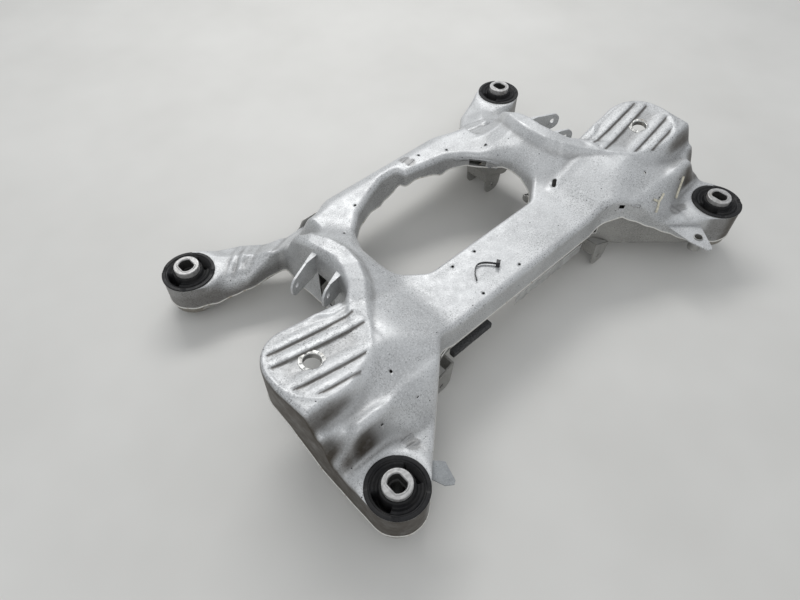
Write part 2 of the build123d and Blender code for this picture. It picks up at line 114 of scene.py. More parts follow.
# Dish of the dome and the bars across it: offset from its middle and turn in degrees
DISH = (515.0, -100.0)
DISH_R = 97.0
DISH_DEEP = 6.0
DISH_STEP = 1.8
DISH_BARS = [(53.7, 4.4), (22.5, 6.0), (-40.0, 5.3), (-70.4, 4.2)]
BAR_HALF = 5.0
BAR_STEEP = 1.15
BAR_GENTLE = 0.28
DOME_HOLE = (530.0, -106.0)
COLLAR_R = 20.0
COLLAR_BORE = 17.0
COLLAR_FLANGE = 26.5
BRACKET_TUBE = (430.0, -388.0)

# Bush radii
TUBE_R = 56.5
TUBE_BORE = 52.0
RING_BORE = 49.0
RING_R = 61.2
SLEEVE_R = 29.0
SLOT_R = 18.0
SLOT_HALF = 14.5
BORE_R = 14.0

# Cable tie: head, free end, bulge of the strap, half its thickness and half its width
TIE_HEAD = (-51.0, -147.0)
TIE_END = (-119.0, -147.0)
TIE_BULGE = 30.0
TIE_HALF = (1.0, 2.8)
TIE_TURN = 35.0

# Where the pans end: under the beam, at the rear, and before the open domes
FRONT_HALF = 10.0
REAR_HALF = 148.0
DOME_IN = 400.0
DOME_FRONT = -205.0

# Mesh of the sheet: grid, pitch of the outlines, height and flare of a wall's last row,
# and how far beside a window the rows follow its edges
GRID = 4.4
EDGE_PITCH = 4.2
EDGE_ROW = 2.8
EDGE_FLARE = 1.4
WINDOW_REACH = 26.0


# Plan outlines

def tangent_at(point, centre, radius, side, x):
    """Where the line from point that grazes the circle reaches the given x."""
    dx = centre[0] - point[0]
    dy = centre[1] - point[1]
    angle = atan2(dy, dx) + side * np.arcsin(radius / np.hypot(dx, dy))
    return point[1] + tan(angle) * (x - point[0])


def plan_outline():
    """Corners of the frame's outer plan: x, y and radius."""
    shoulder = (283.0, -200.0)
    neck = (452.0, 266.0)
    heel = (452.0, 404.0)
    front_wide = FRONT_BUSH[0] + HOUSING_R
    rear_wide = REAR_BUSH[0] + HOUSING_R
    toe = tangent_at(shoulder, FRONT_BUSH, HOUSING_R, -1, front_wide)
    near = tangent_at(neck, REAR_BUSH, HOUSING_R, -1, rear_wide)
    far = tangent_at(heel, REAR_BUSH, HOUSING_R, 1, rear_wide)
    half = [
        (*shoulder, 60),
        (front_wide, toe, HOUSING_R),
        (front_wide, -262, 40),
        (622, -120, 80),
        (616, -3, 88),
        (372, -20, 26),
        (356, 20, 30),
        (353, 90, 60),
        (358, 180, 60),
        (352, 264, 15),
        (*neck, 30),
        (rear_wide, near, HOUSING_R),
        (rear_wide, far, HOUSING_R),
        (*heel, 20),
        (399, 385, 30),
        (325, 322, 60),
    ]
    return half + [(-x, y, r) for x, y, r in reversed(half)]


# Corners of the central opening: x, y and radius
OPENING = [
    (-176, -58, 50), (172, -58, 50), (236, -10, 40), (243, 60, 60),
    (224, 118, 50), (185, 170, 50), (140, 200, 60), (40, 220, 30),
    (14, 222, 10), (4, 250, 10), (-40, 250, 40), (-110, 222, 60),
    (-165, 196, 60), (-215, 152, 50), (-244, 80, 60), (-238, -8, 40),
]


def rounded_loop(corners, pitch):
    """Points about pitch apart along a closed outline of (x, y, radius) corners."""
    places = [np.array(c[:2], float) for c in corners]
    arcs = []
    for i, here in enumerate(places):
        back = places[i - 1] - here
        ahead = places[(i + 1) % len(places)] - here
        back /= np.hypot(*back)
        ahead /= np.hypot(*ahead)
        half = acos(np.clip(back @ ahead, -1, 1)) / 2
        radius = corners[i][2]
        middle = (back + ahead) / np.hypot(*(back + ahead))
        arcs.append((here + back * radius / tan(half), here + ahead * radius / tan(half),
                     here + middle * radius / sin(half), radius))
    loop = []
    for i, (first, last, centre, radius) in enumerate(arcs):
        start = atan2(*(first - centre)[::-1])
        sweep = (atan2(*(last - centre)[::-1]) - start + pi) % (2 * pi) - pi
        count = max(2, ceil(abs(sweep) * radius / pitch))
        angles = start + sweep * np.arange(count + 1) / count
        loop.append(centre + radius * np.c_[np.cos(angles), np.sin(angles)])
        there = arcs[(i + 1) % len(arcs)][0]
        count = ceil(np.hypot(*(there - last)) / pitch)
        share = np.arange(1, count)[:, None] / max(count, 1)
        loop.append(last + (there - last) * share)
    points = np.vstack(loop)
    gap = np.hypot(*(points - np.roll(points, 1, 0)).T)
    return points[gap > 0.05]


def circle_loop(x, y, radius, count):
    angles = 2 * pi * np.arange(count) / count
    return np.c_[x + radius * np.cos(angles), y + radius * np.sin(angles)]


def slot_loop(x, y, length, width, turn, count=10):
    """Slot with round ends, turned by turn degrees."""
    radius = width / 2
    reach = length / 2 - radius
    angles = np.linspace(-pi / 2, pi / 2, count)
    end = np.c_[reach + radius * np.cos(angles), radius * np.sin(angles)]
    loop = np.vstack([end, -end])
    c, s = cos(radians(turn)), sin(radians(turn))
    return np.c_[x + loop[:, 0] * c - loop[:, 1] * s, y + loop[:, 0] * s + loop[:, 1] * c]


def flipped(loop):
    return loop[::-1] * (-1, 1)


# Distance, direction and inside tests in plan

def inside(points, loops):
    """True for points enclosed by an odd number of the loops."""
    x, y = points[:, 0], points[:, 1]
    odd = np.zeros(len(points), bool)
    for loop in loops:
        for (x0, y0), (x1, y1) in zip(loop, np.roll(loop, -1, 0)):
            if y0 != y1:
                crosses = ((y0 > y) != (y1 > y)) & (x < (x1 - x0) * (y - y0) / (y1 - y0) + x0)
                odd ^= crosses
    return odd


def distance(points, loops):
    """Plan distance from each point to the nearest loop."""
    best = np.full(len(points), 1e9)
    for loop in loops:
        ends = np.roll(loop, -1, 0)
        for start in range(0, len(loop), 40):
            a = loop[start:start + 40]
            run = ends[start:start + 40] - a
            size = (run ** 2).sum(1)
            off = points[:, None, :] - a
            share = np.clip((off * run).sum(2) / size, 0, 1)
            gap = np.hypot(off[..., 0] - share * run[:, 0], off[..., 1] - share * run[:, 1])
            best = np.minimum(best, gap.min(1))
    return best


def across(run):
    """Unit vectors at right angles to the given ones."""
    return np.c_[-run[:, 1], run[:, 0]] / np.hypot(*run.T)[:, None]


def inward(loop, region):
    """Unit vectors from the points of a loop into the sheet."""
    normal = across(np.roll(loop, -1, 0) - np.roll(loop, 1, 0))
    normal[~region(loop + normal * 0.5)] *= -1
    return normal


def off_bush(x, y, bush):
    """Plan distance from the axis of a bush, on either side."""
    return np.hypot(np.abs(x) - bush[0], y - bush[1])


# Heights of the pressed form

def ramp(t):
    """Smooth climb from 0 to 1."""
    t = np.clip(t, 0, 1)
    return t * t * (3 - 2 * t)


def step(value, start, end):
    return ramp((value - start) / (end - start))


def higher(a, b, blend):
    """The higher of two surfaces, joined by a soft fillet."""
    h = np.clip(0.5 + 0.5 * (a - b) / blend, 0, 1)
    return b + (a - b) * h + blend * h * (1 - h)


def lower(a, b, blend):
    return -higher(-a, -b, blend)


def along(x, y, track):
    """Plan distance to a chain of (x, y, z) points, and its height there."""
    best = np.full(np.shape(x), 1e9)
    height = np.zeros(np.shape(x))
    for (x0, y0, z0), (x1, y1, z1) in zip(track[:-1], track[1:]):
        dx, dy = x1 - x0, y1 - y0
        share = np.clip(((x - x0) * dx + (y - y0) * dy) / (dx * dx + dy * dy), 0, 1)
        gap = np.hypot(x - x0 - share * dx, y - y0 - share * dy)
        nearer = gap < best
        best = np.where(nearer, gap, best)
        height = np.where(nearer, z0 + share * (z1 - z0), height)
    return best, height


def beside(x, y, start, end):
    """Plan distance to a straight stretch."""
    return along(x, y, [(*start, 0), (*end, 0)])[0]


# Crest of the ring round the pocket: x, y and height
CREST = [
    (500, 350, 96), (465, 318, 100), (432, 285, 112), (405, 252, 142), (382, 217, 186),
    (362, 184, 224), (343, 150, 244), (328, 110, 252), (322, 70, 254), (326, 30, 252),
    (342, -8, 247), (374, -50, 239), (410, -100, 232), (440, -150, 228),
]
# Pressed bands across the left arm, from end to end
ARM_BANDS = [((482.0, 302.0), (414.0, 366.0)), ((459.0, 294.0), (395.0, 355.0))]
# Pairs of short raised bars: x, y, length and turn in degrees
MARKS = [(-469.0, -298.5, 26.0, -2.0), (-469.5, -315.5, 26.0, -2.0), (455.0, -301.0, 26.0, -80.0),
         (473.0, -303.0, 26.0, -80.0), (48.0, 263.0, 24.0, 12.0), (52.0, 245.0, 24.0, 12.0)]
MARK_WIDTH = 4.6
MARK_HIGH = 1.6
BAND_HIGH = 3.6


def dish_place(ax, y):
    """Place in the plane of the pad, measured from the middle of the dish."""
    return (ax - DISH[0]) * sqrt(1 + PAD_SLOPE ** 2), y - DISH[1]


def dish_edge(u, v):
    """How far a point lies inside the rim, which is round outboard and slanted at its inner end."""
    disc = DISH_R - np.hypot(u, v)
    slant = ((u + 126) * 77 + (v + 2) * 66) / np.hypot(77, 66)
    front = ((u + 60) * 11 + (v + 79) * 60) / np.hypot(11, 60)
    inner = np.minimum.reduce([u + 126, 40 - u, 58 - v, slant, front])
    return higher(disc, inner, 10)


def bar_place(u, v, offset, turn):
    """Distance across a bar, positive toward the rear."""
    return cos(radians(turn)) * (v - offset) - sin(radians(turn)) * u


def dish(ax, y):
    """Drop of the dish below the pad, which its bars break with a steep front and a gentle back."""
    u, v = dish_place(ax, y)
    rim = dish_edge(u, v)
    drop = DISH_STEP * step(rim, 0, 9) + (DISH_DEEP - DISH_STEP) * step(rim, 4, 48)
    for offset, turn in DISH_BARS:
        w = bar_place(u, v, offset, turn)
        front = (-w - BAR_HALF) * BAR_STEEP
        back = (w - BAR_HALF) * BAR_GENTLE
        drop = np.minimum(drop, np.maximum(np.maximum(front, back), 0))
    return drop


def rim_bead(ax, y):
    """Narrow raised edge round the dish."""
    u, v = dish_place(ax, y)
    return 1.5 * np.exp(-((dish_edge(u, v) + 4) / 3.6) ** 2)


def main_body(ax, y):
    """Deck of the beam, ramps of the side members, tilted pads of the domes."""
    saddle = SADDLE + SADDLE_RISE * step(y, -240, -150)
    climb = lower(DECK + 54 * (ax - 240) / 130, saddle, 14)
    climb = np.where(ax > 150, climb - 90 * step(y, -70, 30), 0)
    body = higher(np.full(np.shape(ax), DECK), climb, 10)
    outer = step(ax, 440, 505)
    ridge = RIDGE + 6 * outer + 13 * outer * np.exp(-((y + 248) / 15) ** 2)
    ridge = ridge + 11 * step(ax, 580, 605) * step(y, -250, -235)
    pad = PAD_IN + (ax - PAD_EDGE) * PAD_SLOPE
    start = 152 + 38 * step(ax, 420, 520)
    pad = pad - (pad - ridge) * step(-y, start, start + 56 - 26 * outer)
    pad = higher(body, pad - 200 * step(-ax, -400, -330), 16)
    end = step(ax, 540, 612) * step(-y, 222, 252)
    return np.where(ax > 330, pad * (1 - end) + CORNER * end, body)


def with_ring(body, ax, y):
    """The body with the ring round the pocket, steep beside its crest and gentle further out."""
    gap, top = along(ax, y, CREST)
    steep = 1.6 - 1.1 * step(y, 220, 330)
    gap = np.maximum(gap - (18 + 18 * step(y, 230, 300)), 0)
    flank = np.minimum(gap * steep, RING_FALL + (gap - RING_FALL / steep) * RING_FOOT)
    return higher(body, top - flank, 18)


def with_arms(body, ax, y):
    """The body with its rear end drawn down to the crossmember and the arms."""
    aside = step(ax, 175, 262)
    plate = CROSS_PLATE - CROSS_DROP * aside
    fall = 22 * aside
    away = np.clip((y - 256 + 0.45 * fall) / (66 - 0.55 * fall), 0, 1)
    body = plate + (body - plate) * (1 - away ** 2.2)
    arm = ARM_PLATE - 6 + 6 * step(ax, 400, 480)
    share = step(ax, 262, 300) * step(y, 180, 240)
    return body * (1 - share) + arm * share


def with_seats(body, ax, y):
    """The body with the front plates and the seats of the bushes."""
    raised = (FRONT_SEAT - FRONT_PLATE) * step(-off_bush(ax, y, FRONT_BUSH), -100, -66)
    front = FRONT_PLATE + raised + 10 * step(y, -300, -255)
    inner = step(-ax, -500, -430)
    body = front + (body - front) * step(y, -281 - 25 * inner, -257 + 20 * inner)
    bush = off_bush(ax, y, REAR_BUSH)
    seat = step(-bush, -100, -64)
    return np.where(bush < 110, body * (1 - seat) + REAR_SEAT * seat, body)


def upper_height(x, y):
    """Face of the upper shell before its edges roll over."""
    ax = np.abs(x)
    body = with_arms(main_body(ax, y), ax, y)
    body = with_seats(with_ring(body, ax, y), ax, y)
    for start, end in ARM_BANDS:
        body = body + BAND_HIGH * step(-beside(-x, y, start, end), -8, -3)
    for mx, my, long, turn in MARKS:
        reach = long / 2 * np.array([cos(radians(turn)), sin(radians(turn))])
        gap = beside(x, y, (mx - reach[0], my - reach[1]), (mx + reach[0], my + reach[1]))
        body = body + MARK_HIGH * step(-gap, -3.2, -1.8)
    return body + np.where((ax > 370) & (y < 0), rim_bead(ax, y) - dish(ax, y), 0)


def seam(x, y):
    """Height at which the two shells meet; the domes are open below."""
    ax = np.abs(x)
    front = np.interp(ax, [0, 230, 330, 660], [112, 112, 62, 62])
    rear = np.interp(ax, [0, 230, 330, 470, 530, 660], [105, 105, 62, 62, 44, 44])
    climb = np.interp(y, [140, 255, 322, 345], [LIP, LIP, 106, 106])
    ends = np.interp(ax, [0, 225, 262, 263], [LIP + 1, LIP + 1, 90, -50])
    arch = np.where((y > 120) & (y < 360), np.minimum(climb, ends), -50)
    dome = np.interp(y, [-264, -215, -140, -120, -70, -50, 40], [60, 83, 156, 166, 166, 160, 100])
    dome = dome + np.where(x > 0, 30 * step(y, -150, -110) * step(-y, 10, 50), 0)
    dome = np.minimum(dome, np.interp(ax, [340, 430], [60, 250]))
    dome = np.where((y > -264) & (y < 40) & (ax > 340), dome, -50)
    return np.maximum(np.where(y < 0, front, np.maximum(rear, arch)), dome)


def raw_edge(x, y):
    """Height of the upper shell's cut edge, which climbs on the inner walls of the legs."""
    ax = np.abs(x)
    leg = np.interp(ax, [240, 300, 318, 417, 470], [112, 138, 148, 94, 62])
    return np.where((y < -199) & (ax < 470), np.maximum(seam(x, y), leg), seam(x, y))


def wave(x, y):
    """Slow wander of a cut edge."""
    return 1.6 * np.sin(x / 23.0 + y / 41.0) + 1.1 * np.sin(x / 9.5 - y / 13.0 + 1.3)


# Mesh of a pressed sheet

ROLL_STEPS = np.radians([15, 30, 45, 60, 75, 90])


class Pressing:
    """A sheet laid over a form, rolled over at its loops and drawn down into walls."""

    def __init__(self, loops, holes, height, roll, direction, grid=GRID):
        self.loops = loops
        self.holes = holes
        self.height = height
        self.roll = roll
        self.direction = direction
        self.grid = grid
        self.lines = []
        self.keep = None

    def face_height(self, points):
        """Height with the edge rolled over: down for direction 1, up for -1."""
        radius = self.roll(points[:, 0], points[:, 1])
        depth = np.clip(distance(points, self.loops) / radius, 0, 1)
        drop = radius * (1 - np.sqrt(np.clip(1 - (1 - depth) ** 2, 0, 1)))
        return self.height(points[:, 0], points[:, 1]) - self.direction * drop

    def region(self, points):
        """True for points on the sheet."""
        found = inside(points, self.loops)
        if self.keep is not None:
            found &= self.keep(points[:, 0], points[:, 1])
        return found

    def inner_points(self):
        """Rings that follow the rolled edges, and an even grid between them."""
        rings = []
        for loop in self.loops:
            normal = inward(loop, self.region)
            radius = self.roll(loop[:, 0], loop[:, 1])
            for angle in ROLL_STEPS:
                depth = radius * (1 - cos(angle))
                ring = loop + normal * depth[:, None]
                clear = distance(ring, self.loops) > depth * 0.93 - 0.05
                rings.append(ring[clear & self.region(ring)])
        low = np.min([loop.min(0) for loop in self.loops], 0)
        high = np.max([loop.max(0) for loop in self.loops], 0)
        columns = np.arange(low[0], high[0], self.grid)
        rows = np.arange(low[1], high[1], self.grid * sqrt(0.75))
        grid = np.vstack([np.c_[columns + self.grid / 2 * (i % 2), np.full(len(columns), y)]
                          for i, y in enumerate(rows)])
        grid = grid[self.region(grid)]
        clear = distance(grid, self.loops) > self.roll(grid[:, 0], grid[:, 1]) + 0.6 * self.grid
        return np.vstack(rings), grid[clear]

    def clear_of_marks(self, cloud, room):
        """The points further than room from every hole and fold line."""
        marks = np.vstack(self.lines + self.holes)
        clear = np.full(len(cloud), True)
        for start in range(0, len(marks), 200):
            block = marks[start:start + 200]
            gap = np.hypot(cloud[:, None, 0] - block[:, 0], cloud[:, None, 1] - block[:, 1])
            clear &= gap.min(1) > room
        return cloud[clear]

    def face(self):
        """Points and triangles of the face, cut along its loops, holes and fold lines."""
        rings, grid = self.inner_points()
        rounds = len(self.loops) + len(self.holes)
        coords, chains, first = [], [], 0
        for k, line in enumerate(self.loops + self.holes + self.lines):
            count = len(line)
            links = count if k < rounds else count - 1
            chains += [(first + i, first + (i + 1) % count) for i in range(links)]
            coords.append(line)
            first += count
        coords += [self.clear_of_marks(rings, 1.4), self.clear_of_marks(grid, 2.0)]
        found = delaunay_2d_cdt([Vector(p) for p in np.vstack(coords)], chains, [], 0, 0.001)
        verts = np.array([tuple(p) for p in found[0]])
        tris = np.array(found[2])
        middle = verts[tris].mean(1)
        tris = tris[self.region(middle) & ~inside(middle, self.holes)]
        used, place = np.unique(tris, return_inverse=True)
        return np.c_[verts[used], self.face_height(verts[used])], place.reshape(tris.shape)

    def border(self, solid, tris):
        """Edges of the face along its loops, their points, and the way out at each point."""
        edges = np.vstack([tris[:, [0, 1]], tris[:, [1, 2]], tris[:, [2, 0]]]).tolist()
        known = set(map(tuple, edges))
        border = np.array([e for e in edges if (e[1], e[0]) not in known])
        border = border[distance(solid[border].mean(1)[:, :2], self.holes) > 0.3]
        outward = np.zeros((len(solid), 2))
        side = -across(solid[border[:, 1], :2] - solid[border[:, 0], :2])
        np.add.at(outward, border[:, 0], side)
        np.add.at(outward, border[:, 1], side)
        rim = np.unique(border)
        return border, rim, outward[rim] / np.hypot(*outward[rim].T)[:, None]

    def wall_levels(self, rim, foot, rows, windows):
        """Heights of the rows of a wall, which follow the edges of a window near them."""
        top = rim[:, 2]
        knee = foot + self.direction * EDGE_ROW
        levels = [top + (knee - top) * k / (rows - 1) for k in range(1, rows)] + [foot]
        for x, y, half, low, high in windows:
            beyond = half + WINDOW_REACH
            here = (np.abs(rim[:, 0] - x) < beyond) & (np.abs(rim[:, 1] - y) < beyond)
            marks = [top, np.full(len(top), high), np.full(len(top), low), knee]
            for k in range(1, rows):
                share = np.interp(k, [0, rows // 3, 2 * (rows // 3), rows - 1], [0, 1, 2, 3])
                base = int(min(share, 2))
                value = marks[base] + (marks[base + 1] - marks[base]) * (share - base)
                levels[k - 1] = np.where(here, value, levels[k - 1])
        return levels

    def mesh(self, name, edge, rows, windows=()):
        """The face with walls to the edge height, their last row turned slightly out."""
        solid, tris = self.face()
        border, rim, outward = self.border(solid, tris)
        levels = self.wall_levels(solid[rim], edge(solid[rim, 0], solid[rim, 1]), rows, windows)
        index = np.full((rows + 1, len(solid)), -1)
        index[0][rim] = rim
        verts = [solid]
        for k, level in enumerate(levels, 1):
            flare = outward * (EDGE_FLARE if k == rows else 0)
            verts.append(np.c_[solid[rim, :2] + flare, level])
            index[k][rim] = len(solid) + (k - 1) * len(rim) + np.arange(len(rim))
        cloud = np.clip(np.vstack(verts), BOX_LOW, BOX_HIGH)
        faces = tris.tolist()
        # The last wall row takes the second slot: on the upper shell a bright strip, the raw edge with a
        # painted highlight.
        bright = [0] * len(faces)
        for a, b in border.tolist():
            middle = (solid[a, :2] + solid[b, :2]) / 2
            for k in range(rows):
                quad = [index[k][b], index[k][a], index[k + 1][a], index[k + 1][b]]
                if k == 0 or not in_window(middle, cloud[quad, 2].mean(), windows):
                    faces.append(quad)
                    bright.append(int(k == rows - 1))
        if self.direction < 0:
            faces = [face[::-1] for face in faces]
        piece = new_mesh(name, cloud * MM, faces)
        piece.data.polygons.foreach_set("material_index", bright)
        return piece


def in_window(middle, height, windows):
    return any(np.hypot(middle[0] - x, middle[1] - y) < half and low < height < high
               for x, y, half, low, high in windows)


def new_mesh(name, verts, faces):
    mesh = bpy.data.meshes.new(name)
    mesh.from_pydata([tuple(v) for v in verts], [], faces)
    mesh.validate()
    mesh.update()
    piece = bpy.data.objects.new(name, mesh)
    bpy.context.scene.collection.objects.link(piece)
    mesh.polygons.foreach_set("use_smooth", [True] * len(mesh.polygons))
    return piece


def finish_piece(piece, slot, nodes, *materials):
    """Materials, body and node of a finished piece."""
    for material in materials:
        piece.data.materials.append(material)
    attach(piece, "root")
    if nodes:
        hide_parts(*nodes)
    return piece


def thicken(piece, thickness):
    """Thickness behind the face, its cut edges in the material two slots on."""
    solid = piece.modifiers.new("sheet", "SOLIDIFY")
    solid.thickness = thickness * MM
    solid.offset = -1
    solid.use_rim = True
    solid.thickness_clamp = 0
    solid.material_offset_rim = 2
    return piece


# Materials

class Finish:
    """A procedural material in object coordinates."""

    def __init__(self, name, metallic, roughness):
        self.material = bpy.data.materials.new(name)
        self.material.use_nodes = True
        self.tree = self.material.node_tree
        self.shader = self.tree.nodes["Principled BSDF"]
        self.shader.inputs["Metallic"].default_value = metallic
        self.shader.inputs["Roughness"].default_value = roughness
        self.place = self.tree.nodes.new("ShaderNodeTexCoord").outputs["Object"]

    def link(self, start, end):
        self.tree.links.new(start, end)

    def noise(self, scale, detail=4.0, roughness=0.6):
        node = self.tree.nodes.new("ShaderNodeTexNoise")
        for key, value in (("Scale", scale), ("Detail", detail), ("Roughness", roughness)):
            node.inputs[key].default_value = value
        self.link(self.place, node.inputs["Vector"])
        return node.outputs["Fac"]

    def cells(self, scale):
        """Distance to scattered points."""
        node = self.tree.nodes.new("ShaderNodeTexVoronoi")
        node.inputs["Scale"].default_value = scale
        self.link(self.place, node.inputs["Vector"])
        return node.outputs["Distance"]

    def range(self, value, start, end, low=0.0, high=1.0):
        """Value spread from start..end to low..high."""
        node = self.tree.nodes.new("ShaderNodeMapRange")
        for key, limit in zip(("From Min", "From Max", "To Min", "To Max"), (start, end, low, high)):
            node.inputs[key].default_value = limit
        node.clamp = True
        self.link(value, node.inputs["Value"])
        return node.outputs["Result"]

    def times(self, a, b):
        node = self.tree.nodes.new("ShaderNodeMath")
        node.operation = "MULTIPLY"
        self.link(a, node.inputs[0])
        self.link(b, node.inputs[1])
        return node.outputs["Value"]

    def attribute(self, name):
        node = self.tree.nodes.new("ShaderNodeAttribute")
        node.attribute_name = name
        return node.outputs["Fac"]

    def mix(self, share, first, second):
        """Colour between two colours, each a tuple or an output."""
        node = self.tree.nodes.new("ShaderNodeMix")
        node.data_type = "RGBA"
        self.link(share, node.inputs["Factor"])
        for socket, colour in ((node.inputs[6], first), (node.inputs[7], second)):
            if isinstance(colour, tuple):
                socket.default_value = (*colour, 1)
            else:
                self.link(colour, socket)
        return node.outputs[2]

    def patches(self, noise, first, second):
        """Two colours mixed by noise of (scale, detail, start, end)."""
        return self.mix(self.range(self.noise(*noise[:2]), *noise[2:]), first, second)

    def colour(self, output):
        self.link(output, self.shader.inputs["Base Color"])

    def rough(self, value, low, high, start=0.3, end=0.7):
        self.link(self.range(value, start, end, low, high), self.shader.inputs["Roughness"])

    def bump(self, value, strength, depth):
        node = self.tree.nodes.new("ShaderNodeBump")
        node.inputs["Strength"].default_value = strength
        node.inputs["Distance"].default_value = depth * MM
        self.link(value, node.inputs["Height"])
        self.link(node.outputs["Normal"], self.shader.inputs["Normal"])


def shade(tone, factor):
    return tuple(factor * c for c in tone)


def coated_steel(name, tone, speckle):
    """Light grey coating over steel, finely speckled, darkened towards dark brown by a point mask of soiling
    and painted shade.
    """
    finish = Finish(name, 0.35, 0.42)
    colour = finish.patches((9.0, 4.0, 0.35, 0.65), tone, shade(tone, 1.28))
    pale = finish.range(finish.noise(250.0, 3.0, 0.7), 0.50, 0.62, 0.0, 0.55)
    colour = finish.mix(pale, colour, shade(tone, 1.5))
    patch = finish.range(finish.noise(7.0, 3.0), 0.42, 0.62, 0.35, 1.0)
    grain = finish.range(finish.noise(310.0, 3.0, 0.75), 0.52, 0.62, 0.0, 0.78 * speckle)
    colour = finish.mix(finish.times(grain, patch), colour, shade(tone, 0.36))
    # Dark brown where the point mask is high: soiling mixed with painted shade in hollows, on walls and in
    # corners.
    dirt_and_shade = finish.range(finish.attribute("dust_and_shade"), 0.0, 1.0)
    patchy = finish.range(finish.noise(30.0, 5.0), 0.2, 0.5, 0.75, 1.0)
    colour = finish.mix(finish.times(dirt_and_shade, patchy), colour, (0.050, 0.040, 0.029))
    spots = finish.range(finish.cells(150.0), 0.15, 0.08)
    sparse = finish.range(finish.noise(55.0, 2.0), 0.50, 0.58)
    colour = finish.mix(finish.times(spots, sparse), colour, (0.035, 0.035, 0.035))
    flecks = finish.range(finish.cells(34.0), 0.06, 0.04)
    finish.colour(finish.mix(flecks, colour, (0.03, 0.03, 0.032)))
    finish.rough(finish.noise(45.0, 4.0), 0.36, 0.54)
    finish.bump(finish.noise(480.0, 3.0), 0.35, 0.25)
    return finish.material


def layered(name, metallic, roughness, base, layers, grain, gloss=None):
    """A base colour under patches of (scale, detail, start, end, colour), with a fine bump."""
    finish = Finish(name, metallic, roughness)
    colour = base
    for *noise, tone in layers:
        colour = finish.patches(noise, colour, tone)
    finish.colour(colour)
    if gloss:
        finish.rough(finish.noise(*gloss[:2]), *gloss[2:])
    noise, strength, depth = grain
    finish.bump(finish.noise(*noise), strength, depth)
    return finish.material


def painted(name, tone):
    """Thin worn coating in one tone."""
    worn = (140.0, 5.0, 0.42, 0.68, shade(tone, 0.6))
    return layered(name, 0.1, 0.5, tone, [worn], ((400.0, 3.0), 0.3, 0.2))


def zinc_steel(name, tone):
    """Dull zinc-plated steel, clouded and stained."""
    layers = [(55.0, 6.0, 0.35, 0.65, shade((0.60, 0.60, 0.58), tone)),
              (22.0, 4.0, 0.56, 0.70, shade((0.30, 0.25, 0.19), tone))]
    return layered(name, 0.75, 0.4, shade((0.40, 0.39, 0.37), tone), layers, ((500.0, 3.0), 0.25, 0.2),
                   (120.0, 3.0, 0.3, 0.55))


def black_rubber(name, shine):
    """Black rubber with a dusty bloom."""
    finish = Finish(name, 0.0, shine)
    finish.shader.inputs["Specular IOR Level"].default_value = 0.3
    bloom = finish.range(finish.noise(38.0, 6.0, 0.7), 0.42, 0.72)
    colour = finish.mix(bloom, (0.006, 0.006, 0.007), (0.020, 0.019, 0.018))
    specks = finish.range(finish.cells(260.0), 0.09, 0.05)
    finish.colour(finish.mix(specks, colour, (0.13, 0.12, 0.11)))
    finish.rough(finish.noise(70.0, 4.0), shine - 0.08, shine + 0.15)
    finish.bump(finish.noise(350.0, 4.0), 0.3, 0.25)
    return finish.material


def black_foam():
    """Open-pored black foam."""
    finish = Finish("black_foam", 0.0, 0.9)
    finish.colour(finish.patches((240.0, 5.0, 0.35, 0.7), (0.018, 0.018, 0.019), (0.07, 0.07, 0.07)))
    finish.bump(finish.cells(500.0), 0.8, 0.6)
    return finish.material


STEEL = coated_steel("coated_steel", (0.47, 0.475, 0.475), 1.0)
# Darker copy of the coated steel: painted shade on the lower pans, gussets and lower brackets underneath.
BELLY_SHADED = coated_steel("belly_steel_shaded", (0.27, 0.265, 0.25), 0.7)
# Near-black painted shade for the cut edges of the upper shell's holes and the deep bores of the sleeves.
HOLE_SHADE = painted("hole_shade_edge", (0.05, 0.048, 0.045))
PLATE = coated_steel("bracket_steel", (0.25, 0.26, 0.265), 0.8)
TAN = coated_steel("housing_steel", (0.20, 0.185, 0.16), 0.5)
CREAM = painted("cream_coating", (0.66, 0.62, 0.50))
DUSTY = painted("dusty_edge", (0.24, 0.235, 0.22))
# Bright raw steel for cut edges; on the upper shell's last wall row it is also a painted highlight along the
# edge.
RAW_EDGE_AND_HIGHLIGHT = layered("raw_edge_and_highlight", 0.2, 0.4, (0.78, 0.77, 0.73),
              [(80.0, 5.0, 0.56, 0.70, (0.42, 0.35, 0.27))], ((700.0, 2.0), 0.3, 0.2))
ZINC = zinc_steel("zinc_steel", 1.0)
DULL = zinc_steel("dull_steel_tube", 0.72)
ALLOY = layered("light_alloy", 0.55, 0.42, (0.36, 0.355, 0.345),
                [(130.0, 6.0, 0.35, 0.68, (0.58, 0.57, 0.56)), (40.0, 4.0, 0.56, 0.72, (0.30, 0.27, 0.24))],
                ((420.0, 3.0), 0.5, 0.3), (300.0, 3.0, 0.32, 0.55))
RUBBER = black_rubber("black_rubber", 0.62)
RUBBER_RING = black_rubber("ring_rubber", 0.42)
PLASTIC = layered("black_plastic", 0.0, 0.35, (0.010, 0.010, 0.011),
                  [(90.0, 4.0, 0.35, 0.7, (0.03, 0.03, 0.032))], ((600.0, 2.0), 0.2, 0.15))
FOAM = black_foam()
FOIL = layered("bright_foil", 0.95, 0.28, (0.52, 0.52, 0.52),
               [(35.0, 5.0, 0.3, 0.7, (0.80, 0.80, 0.79))], ((160.0, 6.0, 0.7), 0.7, 1.2))


# Upper shell

OUTLINE_LOOP = rounded_loop(plan_outline(), EDGE_PITCH)
OPENING_LOOP = rounded_loop(OPENING, EDGE_PITCH)
PUNCH_R = 3.2
COMMA = (255.0, -62.0, 24.0, 10.0, 35.0)
# Holes in the walls: x, y, half width, lower and upper edge
WINDOW = (354.0, 87.0, 25.0, 84.0, 170.0)
LIP_HOLE = (204.0, 145.0, 21.0, 147.0, 166.0)
CORNER_HOLE = (311.0, -225.0, 6.5, 179.0, 190.0)


